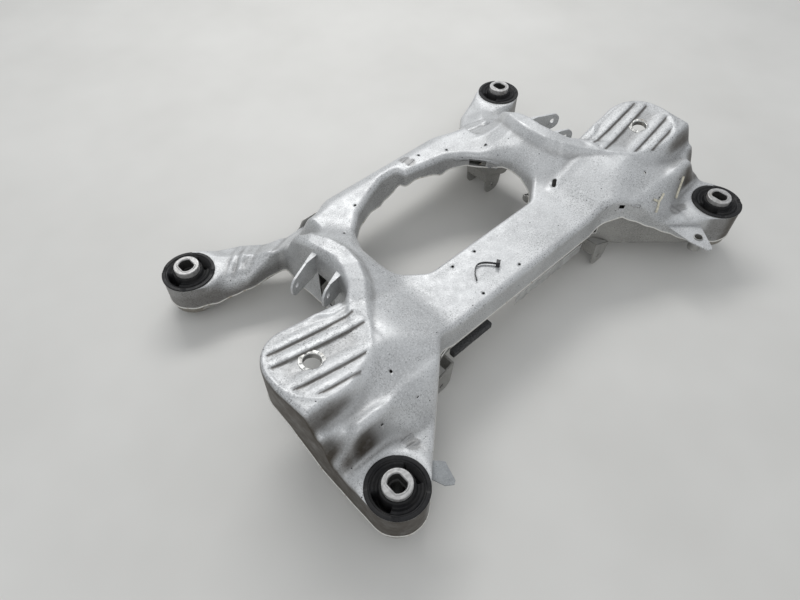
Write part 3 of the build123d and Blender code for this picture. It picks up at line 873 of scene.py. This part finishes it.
def deck_holes():
    """Small punched holes, slits, the comma-shaped slot, the bores of the bushes and the dome holes."""
    places = [(-57, -82), (-127, -81), (-12, -177), (-133, -179), (-158, 218), (158, 218),
              (88, 252), (-242, 157), (242, 157), (425, -205), (-425, -205)]
    holes = [circle_loop(x, y, PUNCH_R, 16) for x, y in places]
    holes += [slot_loop(x * way, -266, 5.5, 1.2, 0, 5) for x in (412, 502) for way in (1, -1)]
    half = [circle_loop(*bush, TUBE_BORE, 72) for bush in (FRONT_BUSH, REAR_BUSH)]
    half.append(circle_loop(*DOME_HOLE, COLLAR_R + 0.2, 40))
    return holes + [slot_loop(*COMMA)] + half + [flipped(loop) for loop in half]


def by_opening(x, y, reach):
    """True within reach of the opening's edge."""
    return distance(np.c_[x, y], [OPENING_LOOP]) < reach


def upper_roll(x, y):
    """Radius of the rolled edge: tight round the bushes, wide round the opening and on the arms."""
    ax = np.abs(x)
    arm = np.minimum(step(ax, 352, 400), np.minimum(step(y, 205, 262), step(-y, -352, -318)))
    ends = step(y, -40, 30) * step(-y, -150, -90)
    lip = LIP_ROLL + 7 * step(y, -40, 60) + 13 * ends
    roll = np.where(by_opening(x, y, 50), lip, EDGE_ROLL + 20 * arm)
    for bush in (FRONT_BUSH, REAR_BUSH):
        roll = BUSH_ROLL + (roll - BUSH_ROLL) * step(off_bush(x, y, bush), 62, 84)
    return roll


# Height of the lip's cut edge by its bearing in degrees from the middle of the opening
LIP_BEARING = [-180, -60, -26, -17, -10, 4, 14, 27, 37, 46, 55, 68, 80, 87, 90, 98, 108, 125, 180]
LIP_HEIGHT = [112, 112, 128, 140, 158, 160, 143, 143, 140, 125, 135, 142, 138, 136, 112, 104, 96, 120, 140]


def upper_edge(x, y):
    """Cut edge: the seam outside, the wavy lip inside the opening."""
    bearing = np.degrees(np.arctan2(y - 70, x))
    lip = np.interp(bearing, LIP_BEARING, LIP_HEIGHT) + 0.7 * wave(x, y)
    outside = raw_edge(x, y) + wave(x, y) * step(np.abs(x), 280, 330)
    return np.where(by_opening(x, y, 1), lip, outside)


def fold_lines():
    """Chains of points along the bars of the domes and round the marks, so that they stay crisp."""
    lines = []
    for x, y, long, turn in MARKS:
        for width in (MARK_WIDTH - 1.0, MARK_WIDTH + 1.8):
            ring = slot_loop(x, y, long + width, width, turn, 6)
            lines.append(np.vstack([ring, ring[:1]]))
    for (x0, y0), (x1, y1) in ARM_BANDS:
        run = np.array([x1 - x0, y1 - y0]) / np.hypot(x1 - x0, y1 - y0)
        for gap in (-8, -3, 3, 8):
            shift = gap * np.array([-run[1], run[0]])
            lines.append(straight((-x0 - shift[0], y0 + shift[1]), (-x1 - shift[0], y1 + shift[1]), 5.0))
    for offset, turn in DISH_BARS:
        for shift in (-BAR_HALF, -BAR_HALF - 2.0, -BAR_HALF - 4.4):
            u = np.arange(-150.0, 100.0, 3.6)
            v = offset + (shift + np.sin(radians(turn)) * u) / cos(radians(turn))
            kept = dish_edge(u, v) > 1
            line = np.c_[DISH[0] + u[kept] / sqrt(1 + PAD_SLOPE ** 2), DISH[1] + v[kept]]
            hole = np.hypot(line[:, 0] - DOME_HOLE[0], line[:, 1] - DOME_HOLE[1])
            line = line[hole > COLLAR_R + 3]
            lines += [line, flipped(line)]
    return lines


def read_points(mesh, key):
    """One vector of every vertex."""
    values = np.zeros(len(mesh.vertices) * 3, np.float32)
    mesh.vertices.foreach_get(key, values)
    return values.reshape(-1, 3)


def hollowness(x, y, reach=14.0):
    """How much lower the form is than the form around it."""
    around = [upper_height(x + dx, y + dy)
              for dx, dy in ((reach, 0), (-reach, 0), (0, reach), (0, -reach))]
    return (np.mean(around, 0) - upper_height(x, y)) / reach


def dish_shade_and_dirt(x, y):
    """Painted shade in the dishes, and painted shadow with some soiling at the feet of the bars' steep
    fronts.
    """
    u, v = dish_place(np.abs(x), y)
    shade = 0.32 * step(dish(np.abs(x), y), 1.5, 5.5)
    for offset, turn in DISH_BARS:
        w = bar_place(u, v, offset, turn)
        foot = step(w, -BAR_HALF - 9, -BAR_HALF - 4) * step(-w, BAR_HALF - 0.5, BAR_HALF + 1.5)
        shade = np.maximum(shade, 0.85 * foot)
    return np.where((dish_edge(u, v) > 7) & (y < 0), shade, 0)


def set_dust_and_shade(piece):
    """Mask of soiling and painted shade at each point: painted shade in hollows, on steep and low walls, in
    shaded corners, round the marks, in the dishes and on the walls round the bushes, mixed with soiling.
    """
    place = read_points(piece.data, "co") / MM
    x, y = place[:, 0], place[:, 1]
    steep = 1 - np.abs(read_points(piece.data, "normal")[:, 2])
    outer = step(np.abs(x), 470, 560)
    low = step(-place[:, 2], -112, -82)
    # Painted shade in hollows and on steep walls, strongest on the outboard walls and the low rear walls,
    # mixed with soiling.
    grime_and_shade = 0.12 + 1.1 * outer * step(-y, -60, 40) + 0.6 * low * step(y, 200, 280)
    wall = step(steep, 0.5 - 0.25 * outer, 1.0 - 0.2 * outer)
    dust_and_shade = np.clip(hollowness(x, y) * 1.4, 0, 0.45) * (1 - steep) + wall * np.clip(grime_and_shade, 0, 1)
    lip = (y > 60) & by_opening(x, y, 3)
    # Dark patch in the outboard corner in front of the dome: painted shade with soiling.
    corner = 0.9 * np.exp(-(((np.abs(x) - 586) / 32) ** 2 + ((y + 268) / 12) ** 2))
    mark = np.min([beside(x, y, bar[:2], (bar[0] + 1, bar[1])) for bar in MARKS], 0)
    # Further layers: painted shade on the steep walls of the lip, darker round the marks, and painted shade
    # in the dishes.
    layers = [dust_and_shade, np.where(lip, 0.30, 0) * step(steep, 0.5, 1.0), corner,
              0.45 * step(-mark, -16, -12), dish_shade_and_dirt(x, y)]
    # Steep walls round the bushes darken as painted shade.
    for bush in (FRONT_BUSH, REAR_BUSH):
        layers.append(0.62 * step(-off_bush(x, y, bush), -76, -64) * step(steep, 0.4, 0.9))
    layer = piece.data.attributes.new("dust_and_shade", "FLOAT", "POINT")
    layer.data.foreach_set("value", np.clip(np.max(layers, 0), 0, 1).astype(np.float32))


def make_upper_shell():
    form = Pressing([OUTLINE_LOOP, OPENING_LOOP], deck_holes(), upper_height, upper_roll, 1)
    form.lines = fold_lines()
    windows = [WINDOW, (-WINDOW[0], *WINDOW[1:]), LIP_HOLE, CORNER_HOLE]
    piece = form.mesh("upper_shell_pressing", upper_edge, 7, windows)
    set_dust_and_shade(piece)
    thicken(piece, SHEET)
    return finish_piece(piece, "coated_steel", ["upper_shell"], STEEL, RAW_EDGE_AND_HIGHLIGHT, HOLE_SHADE)


# Lower shells

def inset(loop, loops):
    """A loop moved into the sheet by the gap between the two shells."""
    return loop + inward(loop, lambda points: inside(points, loops)) * PAN_INSET


def front_kept(x, y):
    """Plan of the front pan: under the beam and the legs, not under the domes."""
    return (y < FRONT_HALF) & ((np.abs(x) < DOME_IN - PAN_INSET) | (y < DOME_FRONT - PAN_INSET))


def rear_kept(x, y):
    return y > REAR_HALF


def straight(start, end, pitch=8.0):
    """Points about pitch apart along a straight line."""
    count = ceil(np.hypot(end[0] - start[0], end[1] - start[1]) / pitch)
    share = np.arange(count + 1)[:, None] / count
    return np.array(start) + (np.array(end) - np.array(start)) * share


def pan_cuts(end):
    """Lines along which a pan ends inside the plan of the frame."""
    side = DOME_IN - PAN_INSET
    front = DOME_FRONT - PAN_INSET
    half = [straight((204, REAR_HALF), (342, REAR_HALF))]
    if end == "front":
        half = [straight((243, FRONT_HALF), (352, FRONT_HALF)),
                straight((side, FRONT_HALF), (side, front)),
                straight((side, front), (611, front))]
    return half + [flipped(line) for line in half]


def pan_height(x, y):
    return seam(x, y) - FLOOR_DROP


def pan_top(x, y):
    """Top of the pan's wall, hidden behind the upper shell's wall and clear of the hole in the lip."""
    top = np.maximum(raw_edge(x, y), seam(x, y)) + LAP_RISE - 3
    hole = np.hypot(x - LIP_HOLE[0], y - LIP_HOLE[1])
    return np.where(hole < 48, np.minimum(top, 138 + 0.2 * hole), top)


def pan_roll(x, y):
    roll = np.full(np.shape(x), PAN_ROLL)
    for bush in (FRONT_BUSH, REAR_BUSH):
        roll = BUSH_PAN_ROLL + (roll - BUSH_PAN_ROLL) * step(off_bush(x, y, bush), 62, 90)
    return roll


def make_pan(end, kept):
    """Lower sheet under one end of the frame, bored for its bush housings."""
    loops = [OUTLINE_LOOP, OPENING_LOOP]
    moved = [inset(loop, loops) for loop in loops]
    bush = FRONT_BUSH if end == "front" else REAR_BUSH
    bore = circle_loop(*bush, HOUSING_R - SHEET - 0.1, 60)
    form = Pressing(moved, [bore, flipped(bore)], pan_height, pan_roll, -1, 8.0)
    form.keep = kept
    form.lines = pan_cuts(end)
    piece = form.mesh(end + "_lower_pan", pan_top, 4)
    thicken(piece, SHEET)
    return finish_piece(piece, "coated_steel", [end + "_lower_shell"], BELLY_SHADED, BELLY_SHADED, RAW_EDGE_AND_HIGHLIGHT)


# Turned pieces

def turned(name, profile, place=(0, 0), count=96, pitch=2.0, shape=None):
    """A closed ring turned from a profile of (radius, height, rounding) corners."""
    section = rounded_loop(profile, pitch)
    angles = 2 * pi * np.arange(count) / count
    radius = np.repeat(section[:, 0][None], count, 0)
    height = np.repeat(section[:, 1][None], count, 0)
    if shape:
        radius, height = shape(radius, height, angles[:, None])
    verts = np.stack([radius * np.cos(angles)[:, None], radius * np.sin(angles)[:, None], height], 2)
    verts = verts.reshape(-1, 3) + (*place, 0)
    size = len(section)
    faces = []
    for i in range(count):
        for j in range(size):
            ahead = (i + 1) % count * size
            after = (j + 1) % size
            faces.append([i * size + j, ahead + j, ahead + after, i * size + after])
    return new_mesh(name, verts * MM, faces)


def notched(seat):
    """Four shallow notches across the flange of a bush ring."""
    def shape(radius, height, angle):
        away = np.abs(np.degrees(angle) % 90 - 45) * pi / 180 * RING_R
        here = (radius > RING_R - 9) & (height > seat + 1.4) & (away < 5.5)
        return radius, np.where(here, height - 1.9, height)
    return shape


def slotted(top):
    """Bore of the inner sleeve, round below and with two flats at its mouth."""
    def shape(radius, height, angle):
        flat = SLOT_HALF / np.maximum(np.abs(np.cos(angle)), 0.1)
        mouth = (radius < SLEEVE_R - 3) & (height > top - 30)
        narrow = radius - SLOT_R + np.minimum(SLOT_R, flat)
        return np.where(mouth, narrow, radius), height
    return shape


def make_bush(side, end, bush, low, seat, top):
    """Ring, inner sleeve, rubber and housing of one bush, from its foot to its top."""
    place = (bush[0] * SIDES[side], bush[1])
    name = side + "_" + end + "_bush_"
    ring = turned(name + "ring_turned", [
        (RING_BORE, low + 8, 1), (TUBE_BORE - 0.05, low + 8, 1), (TUBE_BORE - 0.05, seat, 0.3),
        (RING_R, seat, 0.3), (RING_R, seat + 3.8, 1.7), (TUBE_BORE + 1.5, seat + 3.8, 1.2),
        (TUBE_BORE - 0.5, seat + 1.6, 1.0), (RING_BORE, seat + 1.2, 1.2)],
        place, 144, 1.2, notched(seat))
    mark_notches(ring, place, seat)
    finish_piece(ring, "bush_rubber", [name + "ring"], RUBBER_RING, DUSTY, RUBBER)
    sleeve = turned(name + "sleeve_turned", [
        (BORE_R, low + 6, 1), (SLEEVE_R, low + 6, 1), (SLEEVE_R, top - 1.2, 1.6),
        (SLOT_R + 4.4, top - 1.4, 0.8), (SLOT_R + 3.6, top, 0.5), (SLOT_R + 1.6, top, 0.6),
        (SLOT_R, top - 2.6, 1.0), (SLOT_R, seat - 4.5, 1.5), (BORE_R, seat - 4.5, 0.8)],
        place, 120, 1.2, slotted(top))
    # Faces deep down the bore take the near-black painted shade.
    for face, (radius, _, z) in polar_faces(sleeve, place):
        face.material_index = int(radius < SLOT_R + 0.3 and z < top - 3.2)
    finish_piece(sleeve, "bush_alloy", [name + "sleeve"], ALLOY, HOLE_SHADE)
    near = SLEEVE_R + 0.05
    far = RING_BORE - 0.05
    rubber = turned(name + "rubber_moulded", [
        (near, low + 12, 1), (near, seat + 10.6, 1.5), (near + 4.5, seat + 9.5, 2),
        (near + 8, seat - 1, 2.5), (far - 4, seat + 4.4, 2), (far, seat + 1.5, 1), (far, low + 12, 1)],
        place, 144, 1.4, lobed(seat, near, far))
    finish_piece(rubber, "bush_rubber", [name + "rubber"], RUBBER)
    tube = turned(name + "housing_turned", [
        (TUBE_BORE, low, 0.8), (TUBE_R, low, 0.8), (TUBE_R, seat - SHEET, 0.3),
        (TUBE_BORE, seat - SHEET, 0.3)], place, 96, 6.0)
    finish_piece(tube, "coated_steel", [name + "housing"], TAN)


def lobed(seat, near, far):
    """Two deep curved voids either side of the sleeve."""
    def shape(radius, height, angle):
        a = np.abs((np.degrees(angle) + 90) % 180 - 90)
        deep = step(-a, -33, -27)
        inner = (radius > near + 4.9) & (radius < far - 0.5) & (height > seat - 8)
        return radius, np.where(inner, height - 34 * deep, height)
    return shape


def polar_faces(piece, place):
    """Each face with the radius, bearing in degrees and height of its middle."""
    for face in piece.data.polygons:
        x, y, z = face.center / MM
        dx, dy = x - place[0], y - place[1]
        yield face, (sqrt(dx ** 2 + dy ** 2), degrees(atan2(dy, dx)), z)


def mark_notches(ring, place, seat):
    """Dusty faces in the notches and at the thin rim under the ring's flange."""
    for face, (radius, bearing, z) in polar_faces(ring, place):
        notch = abs(bearing % 90 - 45) < 5.0 and radius > RING_R - 10 and z > seat + 0.8
        rim = radius > RING_R - 1.5 and z < seat + 0.9
        face.material_index = int(rim) + 2 * int(notch)


def make_bushes():
    for side in SIDES:
        make_bush(side, "front", FRONT_BUSH, FRONT_FOOT, FRONT_SEAT, FRONT_TOP)
        make_bush(side, "rear", REAR_BUSH, REAR_FOOT, REAR_SEAT, REAR_TOP)


def make_collars():
    """Flared collars in the floors of the dishes, tilted with the pads."""
    floor = PAD_IN + (DISH[0] - PAD_EDGE) * PAD_SLOPE + (DOME_HOLE[0] - DISH[0]) * PAD_SLOPE
    for side, way in SIDES.items():
        piece = turned(side + "_dome_collar_turned", [
            (COLLAR_BORE, -11, 0.6), (COLLAR_R, -11, 0.6), (COLLAR_R, 0, 0.5), (COLLAR_FLANGE, 0, 0.2),
            (COLLAR_FLANGE, 1.4, 0.4), (COLLAR_R - 1.2, 2.0, 0.8), (COLLAR_BORE, 0.6, 1.0)],
            (0, 0), 96, 1.0, petals)
        normal = Vector((-PAD_SLOPE * way, 0, 1)).normalized()
        middle = Vector((DOME_HOLE[0] * way, DOME_HOLE[1], floor)) - normal * DISH_DEEP
        turn = Vector((0, 0, 1)).rotation_difference(normal).to_matrix().to_4x4()
        piece.data.transform(Matrix.Translation(middle * MM) @ turn)
        finish_piece(piece, "bare_steel", [side + "_dome_collar"], ZINC)


def petals(radius, height, angle):
    """Shallow radial slits round the collar's flange."""
    slit = np.abs((np.degrees(angle) % 36) - 18) < 3.8
    here = (radius > 19.5) & (radius < 25) & (height > 0.6) & slit
    return radius, np.where(here, height - 1.0, height)


def make_bracket_tube():
    """Stepped tube through the right bracket plate, its spigot standing above the plate."""
    piece = turned("bracket_tube_turned", [
        (9, 84, 0.8), (15, 84, 1.0), (15, 116, 0.8), (10.9, 116, 0.3), (10.9, 122, 0.8), (9, 122, 0.6)],
        BRACKET_TUBE, 72, 1.2)
    finish_piece(piece, "bare_steel", ["right_bracket_tube"], DULL)


# Foil strip under the beam

def make_foil():
    """Thin crumpled foil, folded in uneven upright pleats."""
    columns, rows = 150, 14
    rng = np.random.default_rng(7)
    low, high = [np.array(v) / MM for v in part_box("beam_heat_shield")]
    x = np.linspace(low[0], high[0], columns)
    z = np.linspace(low[2] + 0.4, high[2], rows)
    pleat = np.interp(np.arange(columns), np.arange(0, columns + 5, 5), rng.uniform(-1, 1, columns // 5 + 1))
    crumple = rng.uniform(-0.45, 0.45, (rows, columns))
    lean = np.linspace(0.8, 0.25, rows)[:, None]
    depth = pleat[None] * lean * 2.2 + crumple
    middle = (low[1] + high[1]) / 2
    sag = np.sin(x / 21.0) * 1.2 + rng.uniform(0, 1.4, columns)
    heights = z[:, None] + (1 - np.linspace(0, 1, rows))[:, None] * sag[None]
    verts = np.stack([np.repeat(x[None], rows, 0), middle + depth, heights], 2).reshape(-1, 3)
    faces = [[r * columns + c, r * columns + c + 1, (r + 1) * columns + c + 1, (r + 1) * columns + c]
             for r in range(rows - 1) for c in range(columns - 1)]
    piece = new_mesh("foil_strip", verts * MM, faces)
    thicken(piece, 0.5)
    finish_piece(piece, "foil", ["beam_heat_shield"], FOIL)


# Strips and plates: clips, bracket plate and cable tie

def strip_faces(count):
    """Faces of a strip of count square sections."""
    last = 4 * (count - 1)
    faces = [[0, 1, 2, 3], [last + 3, last + 2, last + 1, last]]
    for i in range(0, last, 4):
        faces += [[i + k, i + 4 + k, i + 4 + (k + 1) % 4, i + (k + 1) % 4] for k in range(4)]
    return faces


def sections(path, side, up):
    """Four corners of a strip at each point of its path."""
    return [p + a * q + b * up for p, q in zip(path, side)
            for a, b in ((-1, -1), (1, -1), (1, 1), (-1, 1))]


def ribbon(points, width):
    """Flat strip of a clip along a chain of points, its face toward CLIP_FACE."""
    path = np.array(points, float)
    run = np.gradient(path, axis=0)
    run /= np.sqrt((run ** 2).sum(1))[:, None]
    normal = np.array(CLIP_FACE) / np.sqrt(np.dot(CLIP_FACE, CLIP_FACE))
    side = np.cross(run, normal)
    side *= width / 2 / np.sqrt((side ** 2).sum(1))[:, None]
    return sections(path, side, normal * CLIP_THICK / 2), strip_faces(len(path))


def prism(corners, low, high):
    """Upright solid over corners that run counter-clockwise."""
    count = len(corners)
    verts = [np.array((x, y, z)) for z in (low, high) for x, y in corners]
    faces = [list(range(count))[::-1], list(range(count, 2 * count))]
    faces += [[k, (k + 1) % count, count + (k + 1) % count, count + k] for k in range(count)]
    return verts, faces


def joined(name, parts, edge):
    """One flat-faced piece of several parts, its edges rounded."""
    verts, faces = [], []
    for part_verts, part_faces in parts:
        faces += [[len(verts) + k for k in face] for face in part_faces]
        verts += part_verts
    piece = new_mesh(name, np.array(verts) * MM, faces)
    piece.data.polygons.foreach_set("use_smooth", [False] * len(piece.data.polygons))
    round_edges(piece, edge)
    return piece


def round_edges(piece, width):
    bevel = piece.modifiers.new("edges", "BEVEL")
    bevel.width = width * MM
    bevel.segments = 2
    return bevel


CLIP_FACE = (-0.43, -0.46, 0.78)
CLIP_THICK = 1.6
CLIP_WIDE = 5.5
PRONG_WIDE = 5.0
CLIP_TALL = [(515.5, -267.5, 189), (511, -270, 181), (504, -273.5, 166), (497, -277, 152),
             (489.5, -280.5, 145), (482.5, -283, 146.5)]
CLIP_FORK = [(388, -264, 187), (396, -268.5, 182), (403, -273, 176), (396, -278, 167), (383, -283, 160)]
CLIP_PRONG = [(429.5, -267, 184), (416, -270.5, 179), (403, -273, 176)]


def make_clips():
    """Two thin bent clips on the front slope of the right leg."""
    parts = [ribbon(CLIP_TALL, CLIP_WIDE), ribbon(CLIP_FORK, CLIP_WIDE), ribbon(CLIP_PRONG, PRONG_WIDE)]
    finish_piece(joined("cable_clips_bent", parts, 0.4), "bare_steel", ["cable_clips"], CREAM)


def make_left_plate():
    """Small flat plate beside the left front bush."""
    corners = [(-492, -368), (-477, -408), (-463, -418), (-456, -414), (-443, -375), (-470, -346)]
    piece = joined("left_plate_flat", [prism(corners, 116, 119)], 0.4)
    finish_piece(piece, "coated_steel", ["left_bracket_plate"], PLATE)


def make_tie():
    """A flat strap standing on edge, curved back from its square head."""
    share = np.linspace(0, 1, 25)[:, None]
    path = np.array((*TIE_HEAD, 186.5)) * (1 - share) + np.array((*TIE_END, 184.5)) * share
    path[:, 1:2] += TIE_BULGE * np.sin(pi * share) ** 0.9
    side = np.c_[across(np.gradient(path[:, :2], axis=0)) * TIE_HALF[0], np.zeros(len(path))]
    strap = sections(path, side, np.array((0, 0, TIE_HALF[1])))
    c, s = cos(radians(TIE_TURN)), sin(radians(TIE_TURN))
    head = [(TIE_HEAD[0] + x * c - y * s, TIE_HEAD[1] + x * s + y * c)
            for x, y in ((-5.5, -4.5), (5.5, -4.5), (5.5, 4.5), (-5.5, 4.5))]
    parts = [(strap, strip_faces(len(path))), prism(head, 181.2, 196.2)]
    finish_piece(joined("cable_tie_strap", parts, 0.6), "black_plastic", ["cable_tie"], PLASTIC)


# Pieces whose solids are kept

def dress(node, material, width=0.7):
    """Material on a CAD node, with its edges rounded off."""
    piece = NODES[node]
    piece.data.materials.clear()
    piece.data.materials.append(material)
    weld = piece.modifiers.new("weld", "WELD")
    weld.merge_threshold = 0.02 * MM
    bevel = round_edges(piece, width)
    bevel.limit_method = "ANGLE"
    bevel.angle_limit = radians(35)
    bevel.harden_normals = False


def dress_nodes():
    for side in SIDES:
        for end in ("front", "rear"):
            dress(side + "_" + end + "_link_ear", STEEL)
            dress(side + "_" + end + "_lower_bracket", BELLY_SHADED)
        dress(side + "_pocket_gusset", BELLY_SHADED)
    dress("right_bracket_plate", STEEL)
    dress("beam_foam_strip", FOAM, 1.5)


make_upper_shell()
make_pan("front", front_kept)
make_pan("rear", rear_kept)
make_bushes()
make_collars()
make_bracket_tube()
make_foil()
make_clips()
make_left_plate()
make_tie()
dress_nodes()


# Stage, light and camera

def make_stage():
    bpy.ops.mesh.primitive_plane_add(size=14, location=(0, 0, 0))
    floor = bpy.context.object
    floor.name = "floor"
    finish = Finish("pale_floor", 0.0, 0.55)
    tone = finish.range(finish.noise(2.0, 3.0), 0.3, 0.7)
    finish.colour(finish.mix(tone, (0.60, 0.59, 0.56), (0.66, 0.65, 0.62)))
    floor.data.materials.append(finish.material)


def area_lamp(name, place, aim, size, power):
    lamp = bpy.data.lights.new(name, "AREA")
    lamp.shape = "RECTANGLE"
    lamp.size, lamp.size_y = size
    lamp.energy = power
    holder = bpy.data.objects.new(name, lamp)
    holder.location = place
    holder.rotation_euler = (Vector(aim) - Vector(place)).to_track_quat("-Z", "Y").to_euler()
    bpy.context.scene.collection.objects.link(holder)


def make_light():
    world = bpy.data.worlds.new("studio")
    bpy.context.scene.world = world
    world.use_nodes = True
    sky = world.node_tree.nodes["Background"]
    sky.inputs["Color"].default_value = (0.93, 0.96, 1.0, 1)
    sky.inputs["Strength"].default_value = 0.62
    area_lamp("key", (0.9, 1.7, 2.3), (0, 0, 0.1), (2.4, 0.7), 40)
    area_lamp("fill", (-1.7, -1.5, 2.2), (0, 0, 0.1), (1.6, 1.6), 12)


def make_camera():
    lens = bpy.data.cameras.new("photo_camera")
    lens.sensor_width = 36.0
    lens.lens = CAMERA_LENS
    camera = bpy.data.objects.new("photo_camera", lens)
    columns = [Vector(CAMERA_RIGHT), Vector(CAMERA_UP), -Vector(CAMERA_LOOK)]
    turn = Matrix(columns).transposed()
    camera.matrix_world = Matrix.Translation(Vector(CAMERA_AT) * MM) @ turn.to_4x4()
    bpy.context.scene.collection.objects.link(camera)
    bpy.context.scene.camera = camera


make_stage()
make_light()
make_camera()
bpy.context.scene.view_settings.view_transform = "Standard"
bpy.context.view_layer.update()
